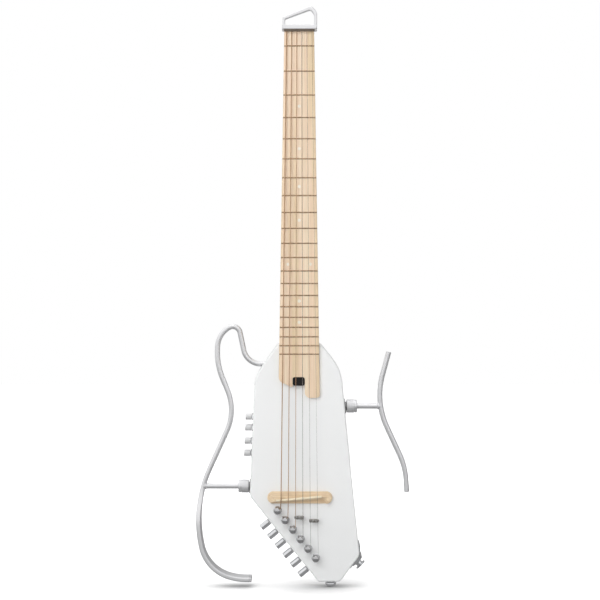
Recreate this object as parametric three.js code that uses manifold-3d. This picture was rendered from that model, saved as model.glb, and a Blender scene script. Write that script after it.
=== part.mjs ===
// A headless silent guitar: a slim slab body, a bolted maple neck with a metal hanging loop at its end,
// six worm-geared tuners set in the body, and two bent metal frames that plug into its sides.
// Millimetres. X is to the right, Y goes into the guitar from its front, Z runs up along the strings.
// Inside the guitar group z = 0 is the zero fret, x = 0 the middle of the strings, y = 0 the body's front.
// The exported group's own origin is the point of the loop that hangs on a hook.

import * as THREE from "three";
import { mergeVertices } from "three/addons/utils/BufferGeometryUtils.js";
import Module from "manifold-3d";

const wasm = await Module();
wasm.setup();

// Fits shared by every piece
const seam = 0.3; // left between pieces that are glued, screwed down or seated
const running = 0.35; // left round a shaft that turns, and beside a part that slides
const overrun = 5; // how far a cut runs past the face that it opens
const weld = 0.001; // points nearer than this are one point

// Scale, frets and strings
const scaleLength = 650;
const fretCount = 20;
const nutSpread = 37; // first string to last at the zero fret
const bridgeSpread = 52.4; // first string to last at the saddle
const stringGauges = [1.35, 1.07, 0.81, 0.61, 0.41, 0.33]; // diameters, left to right
const woundStrings = 3; // the heavy ones are wound
const stringSides = 6;
const wrapTurns = 1.25; // turns of string on each post
const wrapSteps = 16; // steps in one turn
const wrapPitchGap = 0.5; // free space between neighbouring turns
const ballRadius = 2; // the ball that holds a string in the head
const ballLength = 3;

// Neck and fingerboard
const nutWidth = 44;
const lastFretWidth = 58;
const neckDepthNut = 14.5;
const neckDepthHeel = 17;
const heelDepth = 21; // the squared end that sits in the body's pocket
const heelLength = 47.5; // how far the neck reaches into the body; its end hides under the board
const heelBlend = 34; // the stretch where the round back becomes the square heel
const heelShoulder = 6.8; // square all the way, above the body
const backShapes = { nut: 2.6, low: 2.2, round: 2, middle: 2.1, rising: 3.4, square: 9 }; // 2 is an ellipse
const backSteps = 14; // steps across the neck's back
const neckEndZ = 22.8; // upper end of neck and board, under the metal head
const boardFront = -6; // front of the board at its middle
const boardRadius = 305; // curve of the board across the strings
const fretWidth = 2.3;
const fretCrown = 1.1; // width of the flat top of a fret
const fretHeight = 1;
const boardEnd = {
  leftZ: -484.5,
  leftRound: 9,
  tongueX: -9.4,
  tongueZ: -493.4,
  tongueRound: 1.5,
  fingerX: 8,
  fingerZ: -509.4,
  fingerRound: 8,
  fingerSlope: 1.6,
  edgeRound: 4,
};

// Truss rod, its channel, and the black cover over its nut at the end of the heel
const rodRadius = 2.9;
const rodDepth = 4.4; // axis behind the front of the neck
const rodStart = -8;
const rodNutRadius = 4;
const rodNutLength = 9;
const spokeHole = 1.1; // the nut is turned with a pin in its cross holes
const cover = { width: 17.4, height: 12.1, round: 3, proud: 0.9, wall: 1.6, z: -484.8, x: -0.8 };

// Metal head with its hanging loop
const head = {
  bottomZ: 23.3,
  barTopZ: 29.5,
  front: -13,
  back: 14.5,
  left: -24.9,
  right: 25.8,
  round: 3,
  loopDepth: 8.5,
  soften: 1,
  stringHole: 0.95,
  ballPocket: 3,
};
const loopOuter = {
  leftX: -24.1,
  shoulderZ: 40.8,
  shoulderRound: 2.5,
  peakX: 17.5,
  peakZ: 57.6,
  peakRound: 7,
  rightX: 25.8,
  rightZ: 47.5,
  rightRound: 9,
};
const loopInner = {
  leftX: -20.3,
  shoulderZ: 37.3,
  shoulderRound: 2,
  peakX: 16.4,
  peakZ: 50.9,
  peakRound: 4,
  rightX: 21.5,
  rightZ: 44,
  rightRound: 6,
  footRound: 1.2,
};

// Body slab: corners of its outline, each with the radius that rounds it
const bodyThickness = 45;
const bodyEdgeRound = 3;
const corners = {
  neckLeft: { x: -31.5, z: -430.5, round: 6 },
  shoulderLeft: { x: -64.6, z: -477.5, round: 56 },
  waistLeft: { x: -71.6, z: -652, round: 13 },
  footLeft: { x: 27.9, z: -775.4, round: 4 },
  footRight: { x: 59.3, z: -775.4, round: 6 },
  hipRight: { x: 87.6, z: -736.8, round: 14 },
  shoulderRight: { x: 60.6, z: -467.4, round: 67 },
  neckRight: { x: 31.5, z: -430.5, round: 6 },
};

// Bridge, saddle and pickup
const bridge = { x: 1, z: -652.7, length: 94.2, width: 17.5, height: 8.6, round: 3.6 };
const saddle = { thickness: 2.9, length: 66, top: 12.6, seatDepth: 5.4, tiltAngle: 5.1, x: -0.6, z: -653.6 };
const pickup = { thickness: 2.5, height: 1.3, endGap: 2 }; // it stops short of the saddle's ends

// Tuners: one row of six along the body's slanted edge
const tuner = {
  count: 6,
  pitch: 17.68,
  first: 40.4, // first post from the waist corner, along the slanted edge
  inset: 19, // posts from that edge
  shelf: 16, // wood left in front of the tuner well
  wellStart: 15, // well beyond the first and last posts
  wellEnd: 17,
  wellHalf: 13.5,
  wellRound: 5,
};
const gear = { teeth: 14, pitchRadius: 4.4, wormRadius: 2.6, thickness: 4.2, depth: 24 };
const toothShares = { wide: 0.38, tip: 0.9, root: 1.3 }; // tooth width of the pitch, heights of the module
const flankAngle = 20;
const wormTurns = 3;
const wormSteps = 8; // steps in one turn of the thread
const plate = { thickness: 1.3, halfWidth: 8.2, before: 6.3, after: 10.4, ear: 2.1, earGap: 0.7 };
const bushing = { radius: 4.7, flange: 6.1, flangeHeight: 1.4 };
const post = {
  shaft: 2.9,
  waist: 3.3, // the string winds here
  flange: 4.7,
  cap: 5.4,
  lower: 2.2,
  waistFrom: 2.9,
  waistTo: 9.6,
  height: 14.6,
};
const wheelSeat = 2; // radius of the post where the wheel sits
const domeShares = [[0.6, 0.04], [1, 0.2]]; // of the cap's radius, and down the post's height
const knob = { radius: 4.85, length: 15.3, off: 2.2, shaft: 1.5, sleeve: 2, chamfer: 0.9 };

// String trees, which press strings three to six down behind the saddle
const tree = { length: 14.2, width: 5.4, thickness: 2.3, under: 7.4, stem: 1.9 };
const trees = [
  { between: 2, z: -681 },
  { between: 4, z: -685.6 },
];

// Controls in the left side, the board behind them, the cell and the cover plate
const sideDepth = 22.5; // everything in the sides is on this line, halfway through the body
const controls = { firstZ: -537.2, steps: [15.8, 19.5, 17.7], radius: 4.75, length: 8.7, off: 2.5 };
const controlShaft = 3;
const pot = { bush: 4.4, nut: 5.6, nutHeight: 1.5, can: 6, canLength: 7.4 };
const circuit = { thickness: 1.6, halfDepth: 9, endMargin: 9 };
const cavity = { wall: 7.2, right: 16, top: -527, bottom: -624, front: 12, round: 4 };
const lid = { thickness: 2.2, ledge: 4, round: 6 };
const cell = { width: 26.5, depth: 17.5, length: 48.5, round: 2, x: -4, z: -585 };

// Bent frames: each is a list of straights and arcs, and the section of its tube
const tubeRadius = 3.8;
const tubeSides = 10;
const restSquare = 1.5; // how square the thigh rest's section is; a round tube has none
const bendSag = 0.4; // how far a step round a bend may cut inside the true arc
const leftFrame = {
  startX: -36.5,
  startZ: -460.4,
  headingAngle: 180,
  plug: 18,
  bends: [
    { straight: 1.6, radius: 25.5, turnAngle: -78 },
    { straight: 26.4, radius: 10.8, turnAngle: 108.2 },
    { straight: 0, radius: 33.7, turnAngle: 56.5 },
    { straight: 3, radius: 100, turnAngle: 25.7 },
    { straight: 19.2, radius: 74.5, turnAngle: -46.8 },
    { straight: 60.1, radius: 179, turnAngle: 35.8 },
    { straight: 3.2, radius: 58.4, turnAngle: 62.3 },
    { straight: 0, radius: 87.8, turnAngle: 16.5 },
    { straight: 4.1, radius: 0, turnAngle: 0 },
  ],
  restHalfDepth: 17, // half the depth of the flat thigh rest
  flattenFrom: -642, // height where the tube begins to widen into it
  flattenTo: -692,
};
const rightFrame = {
  startX: 130.7,
  startZ: -442.8,
  headingAngle: 254.8,
  plug: 0,
  bends: [
    { straight: 34.7, radius: 112, turnAngle: 40.1 },
    { straight: 43.6, radius: 105.2, turnAngle: -21.6 },
    { straight: 13.7, radius: 0, turnAngle: 0 },
  ],
};
const strut = { radius: 4, left: -638.7, right: -521.8, inside: 26 };
const collar = { radius: 9.7, length: 15.4, throat: 4.6, ring: 3.6, groove: 0.9, chamfer: 0.8 };
const socket = { radius: 6.4, flange: 11, flangeHeight: 1.2, thread: 11, wall: 2, end: 2 };
const capLength = 3.2;
const capSpigot = 4;
const capShare = 0.6; // the spigot's section as a share of the tube's
const capTaperShares = [0.7, 0.85]; // where the cap begins to narrow, and its end

// Strap buttons: one on the slanted lower right edge, with the output jack in it, one under the body
const jack = {
  tiltAngle: -45,
  along: 10.5, // from the hip corner along the slanted edge
  flange: 8.3,
  flangeHeight: 2.6,
  neck: 4.9,
  height: 6.6,
  bore: 3.3,
  boreDepth: 16,
};
const jackPlate = { halfDepth: 14, thickness: 1.5, up: 17, along: 25, base: 13, seat: 9.4, seatHeight: 5.6 };
const jackStem = { radius: 4.6, length: 14 };
const pin = { x: 46, flange: 7.6, neck: 4, height: 9.2, rim: 2.4, shank: 2.4, shankLength: 16 };

// Facets
const cornerSteps = 2; // half the number of steps round a small corner
const outlineSteps = 3; // the same round a corner of the body or of the loop
const earSteps = 3; // the same round the top of a tuner's ear

const finishes = {
  whiteSatin: { color: 0xf2f3f3, roughness: 0.35, metalness: 0 },
  maple: { color: 0xead2ac, roughness: 0.5, metalness: 0 },
  bridgeWood: { color: 0xd9b07e, roughness: 0.5, metalness: 0 },
  satinSilver: { color: 0xc9cccf, roughness: 0.35, metalness: 0.8 },
  chrome: { color: 0xd8dadc, roughness: 0.12, metalness: 1 },
  steel: { color: 0x9ea1a4, roughness: 0.3, metalness: 1 },
  brass: { color: 0xc2a25c, roughness: 0.35, metalness: 1 },
  bronzeString: { color: 0xb98a5c, roughness: 0.35, metalness: 0.9 },
  plainString: { color: 0xc4c6c8, roughness: 0.25, metalness: 1 },
  black: { color: 0x151515, roughness: 0.4, metalness: 0 },
  bone: { color: 0xeee6d2, roughness: 0.45, metalness: 0 },
  circuitGreen: { color: 0x2f6b3f, roughness: 0.5, metalness: 0 },
};

const radians = THREE.MathUtils.degToRad;
const mid = (a, b) => (a + b) / 2;

// Positions of things that other pieces follow
const fretZ = (n) => -scaleLength * (1 - 2 ** (-n / 12));
const halfWidth = (z) => nutWidth / 2 + ((lastFretWidth - nutWidth) / 2) * (z / fretZ(fretCount));
const stringShare = (i) => i / (stringGauges.length - 1) - 1 / 2;
const nutX = (i) => nutSpread * stringShare(i);
const bridgeX = (i) => bridgeSpread * stringShare(i);
const crownDrop = (x) => (x * x) / (2 * boardRadius);
const heelZ = corners.neckLeft.z - heelLength;
const nutTop = heelZ - seam;

// Point on a straight side of the body at height z, and how far that side leans from upright
function sideX(upper, lower, z) {
  return upper.x + ((lower.x - upper.x) * (z - upper.z)) / (lower.z - upper.z);
}

const leanOf = (upper, lower) => Math.atan2(upper.x - lower.x, upper.z - lower.z);

// The slanted lower left edge carries the tuners: along it, and inward from it
const edgeStart = new THREE.Vector3(corners.waistLeft.x, 0, corners.waistLeft.z);
const edgeEnd = new THREE.Vector3(corners.footLeft.x, 0, corners.footLeft.z);
const edgeAlong = edgeEnd.clone().sub(edgeStart).normalize();
const edgeInward = new THREE.Vector3(-edgeAlong.z, 0, edgeAlong.x);
const edgeAngle = Math.atan2(-edgeAlong.z, edgeAlong.x);

function postPlace(i) {
  const along = tuner.first + i * tuner.pitch;
  return edgeStart.clone().addScaledVector(edgeAlong, along).addScaledVector(edgeInward, tuner.inset);
}

// Closed mesh from points and triangles, turned so that its faces point outwards
function closedGeometry(points, triangles) {
  const a = new THREE.Vector3();
  let volume = 0;
  for (const [i, j, k] of triangles) volume += a.copy(points[i]).cross(points[j]).dot(points[k]);
  const order = volume < 0 ? ([i, j, k]) => [i, k, j] : (corner) => corner;
  const geometry = new THREE.BufferGeometry();
  const flat = points.flatMap((p) => [p.x, p.y, p.z]);
  geometry.setAttribute("position", new THREE.Float32BufferAttribute(flat, 3));
  geometry.setIndex(triangles.flatMap(order));
  return geometry;
}

// Skin over a row of rings with equal counts of points, closed by a fan at each end
function loft(rings) {
  const count = rings[0].length;
  const points = rings.flat();
  const triangles = [];
  for (let r = 0; r + 1 < rings.length; r += 1) {
    for (let i = 0; i < count; i += 1) {
      const next = (i + 1) % count;
      const [a, b, c, d] = [r * count + i, r * count + next, (r + 1) * count + next, (r + 1) * count + i];
      triangles.push([a, b, c], [a, c, d]);
    }
  }
  const last = (rings.length - 1) * count;
  for (let i = 1; i + 1 < count; i += 1) {
    triangles.push([0, i + 1, i], [last, last + i, last + i + 1]);
  }
  return closedGeometry(points, triangles);
}

// Solids that can be joined and cut
function solid(geometry) {
  const bare = geometry.index ? geometry.toNonIndexed() : geometry.clone();
  bare.deleteAttribute("normal");
  bare.deleteAttribute("uv");
  const merged = mergeVertices(bare, weld);
  const triVerts = new Uint32Array(merged.index.array);
  const vertProperties = merged.attributes.position.array;
  return new wasm.Manifold(new wasm.Mesh({ numProp: 3, vertProperties, triVerts }));
}

function geometryOf(made) {
  const mesh = made.getMesh();
  const geometry = new THREE.BufferGeometry();
  geometry.setAttribute("position", new THREE.Float32BufferAttribute(mesh.vertProperties, 3));
  geometry.setIndex(new THREE.BufferAttribute(mesh.triVerts, 1));
  return geometry;
}

const join = (...parts) => geometryOf(parts.map(solid).reduce((sum, part) => sum.add(part)));
function cut(base, ...tools) {
  return geometryOf(tools.map(solid).reduce((rest, tool) => rest.subtract(tool), solid(base)));
}

const common = (base, other) => geometryOf(solid(base).intersect(solid(other)));

function piece(name, geometry, finish) {
  const flat = geometry.index ? geometry.toNonIndexed() : geometry;
  flat.computeVertexNormals();
  const mesh = new THREE.Mesh(flat, new THREE.MeshStandardMaterial(finishes[finish]));
  mesh.name = name;
  return mesh;
}

// Outline with each corner rounded by its own radius; a corner is [x, z, radius], and the first is round
// where any is, or else all are sharp
function roundedOutline(points) {
  const shape = new THREE.Shape();
  points.forEach(([x, z, radius], i) => {
    const here = new THREE.Vector2(x, z);
    const toBefore = new THREE.Vector2(...points.at(i - 1)).sub(here).normalize();
    const toAfter = new THREE.Vector2(...points[(i + 1) % points.length]).sub(here).normalize();
    if (!radius) {
      if (i) shape.lineTo(x, z);
      else shape.moveTo(x, z);
      return;
    }
    const half = Math.acos(toBefore.dot(toAfter)) / 2;
    const start = here.clone().addScaledVector(toBefore, radius / Math.tan(half));
    const end = here.clone().addScaledVector(toAfter, radius / Math.tan(half));
    const inward = toBefore.clone().add(toAfter).normalize();
    const centre = here.clone().addScaledVector(inward, radius / Math.sin(half));
    const clockwise = toBefore.cross(toAfter) > 0;
    const startAngle = start.sub(centre).angle();
    const endAngle = end.sub(centre).angle();
    shape.absarc(centre.x, centre.y, radius, startAngle, endAngle, clockwise);
  });
  return shape;
}

function roundedBox(left, right, bottom, top, radius) {
  return roundedOutline([
    [left, bottom, radius],
    [right, bottom, radius],
    [right, top, radius],
    [left, top, radius],
  ]);
}

// Outline in X and Z given a thickness from front to back, with edges softened by bevel
function slab(shape, front, back, bevel = 0, bevelSegments = 1, curveSegments = cornerSteps) {
  const geometry = new THREE.ExtrudeGeometry(shape, {
    depth: back - front - 2 * bevel,
    curveSegments,
    bevelEnabled: bevel > 0,
    bevelThickness: bevel,
    bevelSize: bevel,
    bevelOffset: -bevel,
    bevelSegments,
  });
  geometry.translate(0, 0, bevel);
  geometry.rotateX(Math.PI / 2);
  geometry.translate(0, back, 0);
  return geometry;
}

function box(left, right, front, back, bottom, top) {
  const geometry = new THREE.BoxGeometry(right - left, back - front, top - bottom);
  geometry.translate(mid(left, right), mid(front, back), mid(bottom, top));
  return geometry;
}

// Round bar between two points
function rod(radius, from, to, sides = 16) {
  const start = new THREE.Vector3(...from);
  const end = new THREE.Vector3(...to);
  const geometry = new THREE.CylinderGeometry(radius, radius, start.distanceTo(end), sides);
  const direction = end.clone().sub(start).normalize();
  const turn = new THREE.Quaternion().setFromUnitVectors(new THREE.Vector3(0, 1, 0), direction);
  geometry.applyQuaternion(turn);
  geometry.translate(...start.add(end).divideScalar(2).toArray());
  return geometry;
}

// Turned piece: its profile is a list of [radius, place along Y]
function turned(profile, sides = 16) {
  const points = profile.map(([radius, y]) => new THREE.Vector2(radius, y));
  return new THREE.LatheGeometry(points, sides);
}

const alongX = (geometry) => geometry.rotateZ(-Math.PI / 2);
const alongZ = (geometry) => geometry.rotateX(Math.PI / 2);

// Neck: a loft of sections, round at the back and squared where it enters the body
function neckRing(z, depth, square) {
  const half = halfWidth(z);
  const ring = [];
  for (let i = 0; i <= backSteps; i += 1) {
    const angle = (Math.PI * i) / backSteps;
    const bend = 2 / square;
    const x = half * Math.sign(Math.cos(angle)) * Math.abs(Math.cos(angle)) ** bend;
    ring.push(new THREE.Vector3(x, depth * Math.sin(angle) ** bend, z));
  }
  return ring;
}

function makeNeck() {
  const entry = corners.neckLeft.z + seam;
  const blendEnd = entry + heelShoulder;
  const stations = [
    [neckEndZ, neckDepthNut, backShapes.nut],
    [neckEndZ / 2, neckDepthNut, backShapes.low],
    [fretZ(1), neckDepthNut, backShapes.round],
    [fretZ(12), neckDepthHeel, backShapes.middle],
    [blendEnd + heelBlend, neckDepthHeel, backShapes.low],
    [blendEnd + heelBlend / 2, mid(neckDepthHeel, heelDepth), backShapes.rising],
    [blendEnd, heelDepth, backShapes.square],
    [heelZ, heelDepth, backShapes.square],
  ];
  const blank = loft(stations.map(([z, depth, square]) => neckRing(z, depth, square)));
  const channelHalf = rodRadius + seam;
  const channelBack = rodDepth + channelHalf;
  const channel = box(-channelHalf, channelHalf, -overrun, channelBack, heelZ - overrun, rodStart + seam);
  return piece("neck", cut(blank, channel), "maple");
}

function makeTrussRod() {
  const middle = nutTop - rodNutLength / 2;
  const shaft = rod(rodRadius, [0, rodDepth, rodStart], [0, rodDepth, middle], 12);
  const nut = rod(rodNutRadius, [0, rodDepth, nutTop], [0, rodDepth, nutTop - rodNutLength], 12);
  const across = rod(spokeHole, [-overrun, rodDepth, middle], [overrun, rodDepth, middle], 8);
  const through = rod(spokeHole, [0, rodDepth - overrun, middle], [0, rodDepth + overrun, middle], 8);
  return piece("truss_rod", cut(join(shaft, nut), across, through), "steel");
}

// Fingerboard: crowned across, tapered along, with its stepped lower end and its frets
function boardOutline() {
  const { leftZ, leftRound, tongueX, tongueZ, tongueRound } = boardEnd;
  const { fingerX, fingerZ, fingerRound, fingerSlope, edgeRound } = boardEnd;
  const notchHalf = cover.width / 2 + seam;
  const notchTop = cover.z + cover.height / 2 + seam;
  return roundedOutline([
    [-halfWidth(leftZ), leftZ, leftRound],
    [tongueX, tongueZ, tongueRound],
    [cover.x - notchHalf, notchTop, cover.round],
    [cover.x + notchHalf, notchTop, cover.round],
    [fingerX, fingerZ, fingerRound],
    [halfWidth(fingerZ), fingerZ + fingerSlope, edgeRound],
    [halfWidth(neckEndZ), neckEndZ, 0],
    [-halfWidth(neckEndZ), neckEndZ, 0],
  ]);
}

// Block with the board's crowned face, raised into a ridge at each fret
const crownShares = [-1, -0.5, 0, 0.5, 1];

function crownRing(z, raise) {
  const side = lastFretWidth / 2 + overrun;
  const crown = crownShares.map((share) => {
    const x = share * side;
    return new THREE.Vector3(x, boardFront + crownDrop(x) - raise, z);
  });
  return [new THREE.Vector3(side, overrun, z), new THREE.Vector3(-side, overrun, z), ...crown];
}

function frettedBlock() {
  const rings = [crownRing(neckEndZ + overrun, 0)];
  for (let n = 0; n <= fretCount; n += 1) {
    const z = fretZ(n);
    rings.push(
      crownRing(z + fretWidth / 2, 0),
      crownRing(z + fretCrown / 2, fretHeight),
      crownRing(z - fretCrown / 2, fretHeight),
      crownRing(z - fretWidth / 2, 0),
    );
  }
  rings.push(crownRing(boardEnd.fingerZ - overrun, 0));
  return loft(rings);
}

function makeFretboard() {
  const flat = slab(boardOutline(), boardFront - overrun, -seam);
  return piece("fretboard", common(flat, frettedBlock()), "maple");
}

function makeTrussCover() {
  const front = boardFront - cover.proud;
  const halfW = cover.width / 2;
  const halfH = cover.height / 2;
  const shape = roundedBox(cover.x - halfW, cover.x + halfW, cover.z - halfH, cover.z + halfH, cover.round);
  const cap = slab(shape, front, -seam, cover.proud, 1, 1);
  const innerW = halfW - cover.wall;
  const innerH = halfH - cover.wall;
  const [left, right, bottom, top] = [cover.x - innerW, cover.x + innerW, cover.z - innerH, cover.z + innerH];
  const hollow = box(left, right, front + cover.wall, overrun, bottom, top);
  return piece("truss_cover", cut(cap, hollow), "black");
}

// Metal head: a bar across the neck's end that holds the string balls, and the hanging loop above it
function makeHead() {
  const plan = roundedBox(head.left, head.right, head.front, head.back, head.round);
  const base = new THREE.ExtrudeGeometry(plan, {
    depth: head.barTopZ - head.bottomZ,
    curveSegments: cornerSteps,
    bevelEnabled: false,
  });
  base.translate(0, 0, head.bottomZ);
  const outer = roundedOutline([
    [loopOuter.leftX, head.bottomZ + head.soften, 0],
    [loopOuter.rightX, head.bottomZ + head.soften, 0],
    [loopOuter.rightX, loopOuter.rightZ, loopOuter.rightRound],
    [loopOuter.peakX, loopOuter.peakZ, loopOuter.peakRound],
    [loopOuter.leftX, loopOuter.shoulderZ, loopOuter.shoulderRound],
  ]);
  const window = roundedOutline([
    [loopInner.leftX, head.barTopZ, loopInner.footRound],
    [loopInner.rightX, head.barTopZ, loopInner.footRound],
    [loopInner.rightX, loopInner.rightZ, loopInner.rightRound],
    [loopInner.peakX, loopInner.peakZ, loopInner.peakRound],
    [loopInner.leftX, loopInner.shoulderZ, loopInner.shoulderRound],
  ]);
  outer.holes.push(window);
  const loop = slab(outer, head.front, head.front + head.loopDepth, head.soften);
  const holes = stringGauges.flatMap((gauge, i) => {
    const x = headX(i);
    const y = nutString(i).y;
    const shoulder = head.barTopZ - ballLength - 2 * seam;
    return [
      rod(head.stringHole, [x, y, head.bottomZ - overrun], [x, y, head.barTopZ + overrun / 2], 6),
      rod(head.ballPocket, [x, y, shoulder], [x, y, head.barTopZ + overrun / 2], 8),
    ];
  });
  return piece("head_loop", cut(join(base, loop), ...holes), "satinSilver");
}

// Body: the slab with its neck pocket, tuner well, control cavity and the bores in its sides
function bodyOutline() {
  return roundedOutline(Object.values(corners).map(({ x, z, round }) => [x, z, round]));
}

function neckPocket() {
  const top = corners.neckLeft.z + overrun;
  const bottom = heelZ - seam;
  return slab(
    roundedOutline([
      [-halfWidth(top) - seam, top, 0],
      [-halfWidth(bottom) - seam, bottom, 0],
      [halfWidth(bottom) + seam, bottom, 0],
      [halfWidth(top) + seam, top, 0],
    ]),
    -overrun,
    heelDepth + seam,
  );
}

// Room for the truss rod's nut, open to the front under the black cover
function nutRoom() {
  const half = rodNutRadius + seam;
  const bottom = nutTop - rodNutLength - seam;
  return box(-half, half, -overrun, rodDepth + half, bottom, heelZ + overrun);
}

// The tuner well and its bores, in the tuners' own directions, then set along the slanted edge
function tunerCuts() {
  const lastPost = (tuner.count - 1) * tuner.pitch;
  const { wellStart, wellEnd, wellHalf, wellRound } = tuner;
  const wellShape = roundedBox(-wellStart, lastPost + wellEnd, -wellHalf, wellHalf, wellRound);
  const well = slab(wellShape, tuner.shelf, bodyThickness + overrun);
  const tools = [well];
  for (let i = 0; i < tuner.count; i += 1) {
    const x = i * tuner.pitch;
    const wormX = x + shaftX;
    tools.push(rod(bushing.radius + seam, [x, -overrun, 0], [x, tuner.shelf + overrun, 0], 10));
    const [outside, inside] = [-tuner.inset - overrun, -wellHalf + overrun];
    tools.push(rod(knob.sleeve + running, [wormX, gear.depth, outside], [wormX, gear.depth, inside], 8));
  }
  const start = postPlace(0);
  for (const tool of tools) {
    tool.rotateY(edgeAngle);
    tool.translate(start.x, 0, start.z);
  }
  return tools;
}

const controlZ = (i) => controls.steps.slice(0, i).reduce((z, step) => z - step, controls.firstZ);
const leftSideX = (z) => sideX(corners.shoulderLeft, corners.waistLeft, z);
const rightSideX = (z) => sideX(corners.shoulderRight, corners.hipRight, z);
const cavityLeft = leftSideX(cavity.top) + cavity.wall;

function controlCuts() {
  const { right, bottom, top, front, round } = cavity;
  const room = slab(roundedBox(cavityLeft, right, bottom, top, round), front, bodyThickness + overrun);
  const ledgeLeft = cavityLeft - lid.ledge;
  const rim = roundedBox(ledgeLeft, right + lid.ledge, bottom - lid.ledge, top + lid.ledge, lid.round);
  const ledge = slab(rim, bodyThickness - lid.thickness - seam, bodyThickness + overrun);
  const tools = [room, ledge];
  for (let i = 0; i <= controls.steps.length; i += 1) {
    const z = controlZ(i);
    const outside = [leftSideX(z) - overrun, sideDepth, z];
    tools.push(rod(pot.bush + seam, outside, [cavityLeft + overrun, sideDepth, z], 12));
  }
  return tools;
}

function makeBody() {
  const blank = slab(bodyOutline(), 0, bodyThickness, bodyEdgeRound, 2, outlineSteps);
  const across = (radius, from, to, z) => rod(radius, [from, sideDepth, z], [to, sideDepth, z]);
  const bore = socket.radius + seam;
  const leftStrut = across(bore, leftSideX(strut.left) - overrun, leftSocketEnd + seam, strut.left);
  const rightStrut = across(bore, rightSideX(strut.right) + overrun, rightSocketEnd - seam, strut.right);
  const upper = across(upperBore + seam, corners.shoulderLeft.x, upperEnd + seam, leftFrame.startZ);
  const pinTop = corners.footRight.z + pin.shankLength + seam;
  const pinBottom = corners.footRight.z - overrun;
  const pinHole = rod(pin.shank + seam, [pin.x, sideDepth, pinBottom], [pin.x, sideDepth, pinTop], 10);
  const jackHole = rod(jackStem.radius + seam, jackPoint(-jackStem.length), jackPoint(overrun), 12);
  const sideHoles = [leftStrut, rightStrut, upper, pinHole, jackHole];
  const made = cut(blank, neckPocket(), nutRoom(), ...tunerCuts(), ...controlCuts(), ...sideHoles);
  return piece("body", made, "whiteSatin");
}

// Bridge, saddle and pickup: the saddle leans across the strings to lengthen the heavy ones
function makeBridge() {
  const halfL = bridge.length / 2;
  const halfW = bridge.width / 2;
  const end = halfW - seam;
  const shape = roundedBox(bridge.x - halfL, bridge.x + halfL, bridge.z - halfW, bridge.z + halfW, end);
  const domed = slab(shape, -bridge.height, bridge.round, bridge.round, 3, outlineSteps);
  const [below, above] = [bridge.z - bridge.width, bridge.z + bridge.width];
  const space = box(-bridge.length, bridge.length, -bridge.height - overrun, -seam, below, above);
  const block = common(domed, space);
  const slotHalf = saddle.thickness / 2 + seam;
  const lengthHalf = saddle.length / 2 + seam;
  const slotBack = pickupFront + pickup.height + seam;
  const slot = box(-lengthHalf, lengthHalf, -bridge.height - overrun, slotBack, -slotHalf, slotHalf);
  slot.rotateY(-radians(saddle.tiltAngle));
  slot.translate(saddle.x, 0, saddle.z);
  return piece("bridge", cut(block, slot), "bridgeWood");
}

const saddleFoot = -bridge.height + saddle.seatDepth;
const pickupFront = saddleFoot + seam;

function makeSaddle() {
  const top = -saddle.top;
  const spans = 8;
  const rings = [];
  for (let i = 0; i <= spans; i += 1) {
    const x = (saddle.length / 2) * ((2 * i) / spans - 1);
    const crest = top + crownDrop(x);
    const shoulder = crest + saddle.thickness / 4;
    const half = saddle.thickness / 2;
    rings.push([
      new THREE.Vector3(x, saddleFoot, -half),
      new THREE.Vector3(x, shoulder, -half),
      new THREE.Vector3(x, crest, -half / 2),
      new THREE.Vector3(x, crest, half / 2),
      new THREE.Vector3(x, shoulder, half),
      new THREE.Vector3(x, saddleFoot, half),
    ]);
  }
  const mesh = piece("saddle", loft(rings), "bone");
  mesh.rotation.y = -radians(saddle.tiltAngle);
  mesh.position.set(saddle.x, 0, saddle.z);
  return mesh;
}

function makePickup() {
  const halfL = saddle.length / 2 - pickup.endGap;
  const halfT = pickup.thickness / 2;
  const strip = box(-halfL, halfL, pickupFront, pickupFront + pickup.height, -halfT, halfT);
  const mesh = piece("pickup_strip", strip, "brass");
  mesh.rotation.y = -radians(saddle.tiltAngle);
  mesh.position.set(saddle.x, 0, saddle.z);
  return mesh;
}

// Strings: ball in the head, over the zero fret, over the saddle, under a tree, round a post
function nutString(i) {
  const x = nutX(i);
  const y = boardFront + crownDrop(x) - fretHeight - seam - stringGauges[i] / 2;
  return new THREE.Vector3(x, y, 0);
}

function headX(i) {
  return nutX(i) + ((nutX(i) - bridgeX(i)) * head.bottomZ) / scaleLength;
}

function saddleString(i) {
  const x = bridgeX(i);
  const z = saddle.z + (x - saddle.x) * Math.tan(radians(saddle.tiltAngle));
  const y = -saddle.top + crownDrop(x - saddle.x) - seam - stringGauges[i] / 2;
  return new THREE.Vector3(x, y, z);
}

function wrapPoints(i) {
  const place = postPlace(i);
  const gauge = stringGauges[i];
  const radius = post.waist + running + gauge / 2;
  const top = -post.waistTo + seam + gauge;
  const points = [];
  const steps = Math.round(wrapTurns * wrapSteps);
  for (let s = 0; s <= steps; s += 1) {
    const angle = (-2 * Math.PI * s) / wrapSteps;
    const y = top + ((gauge + wrapPitchGap) * s) / wrapSteps;
    points.push(new THREE.Vector3(place.x + radius * Math.cos(angle), y, place.z + radius * Math.sin(angle)));
  }
  return points;
}

function treeFor(i) {
  return trees.find(({ between }) => i === between || i === between + 1);
}

function stringPoints(i) {
  const gauge = stringGauges[i];
  const nut = nutString(i);
  const bar = new THREE.Vector3(headX(i), nut.y, head.barTopZ - 2 * seam);
  const over = saddleString(i);
  const wrap = wrapPoints(i);
  const behind = new THREE.Vector3(over.x, over.y, over.z - saddle.thickness / 2);
  const route = [bar, nut, over, behind];
  const pressed = treeFor(i);
  if (pressed) {
    const y = -tree.under + seam + gauge / 2;
    for (const z of [pressed.z + tree.width / 2, pressed.z - tree.width / 2]) {
      const share = (over.z - z) / (over.z - wrap[0].z);
      route.push(new THREE.Vector3(over.x + (wrap[0].x - over.x) * share, y, z));
    }
  }
  return [...route, ...wrap];
}

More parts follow.
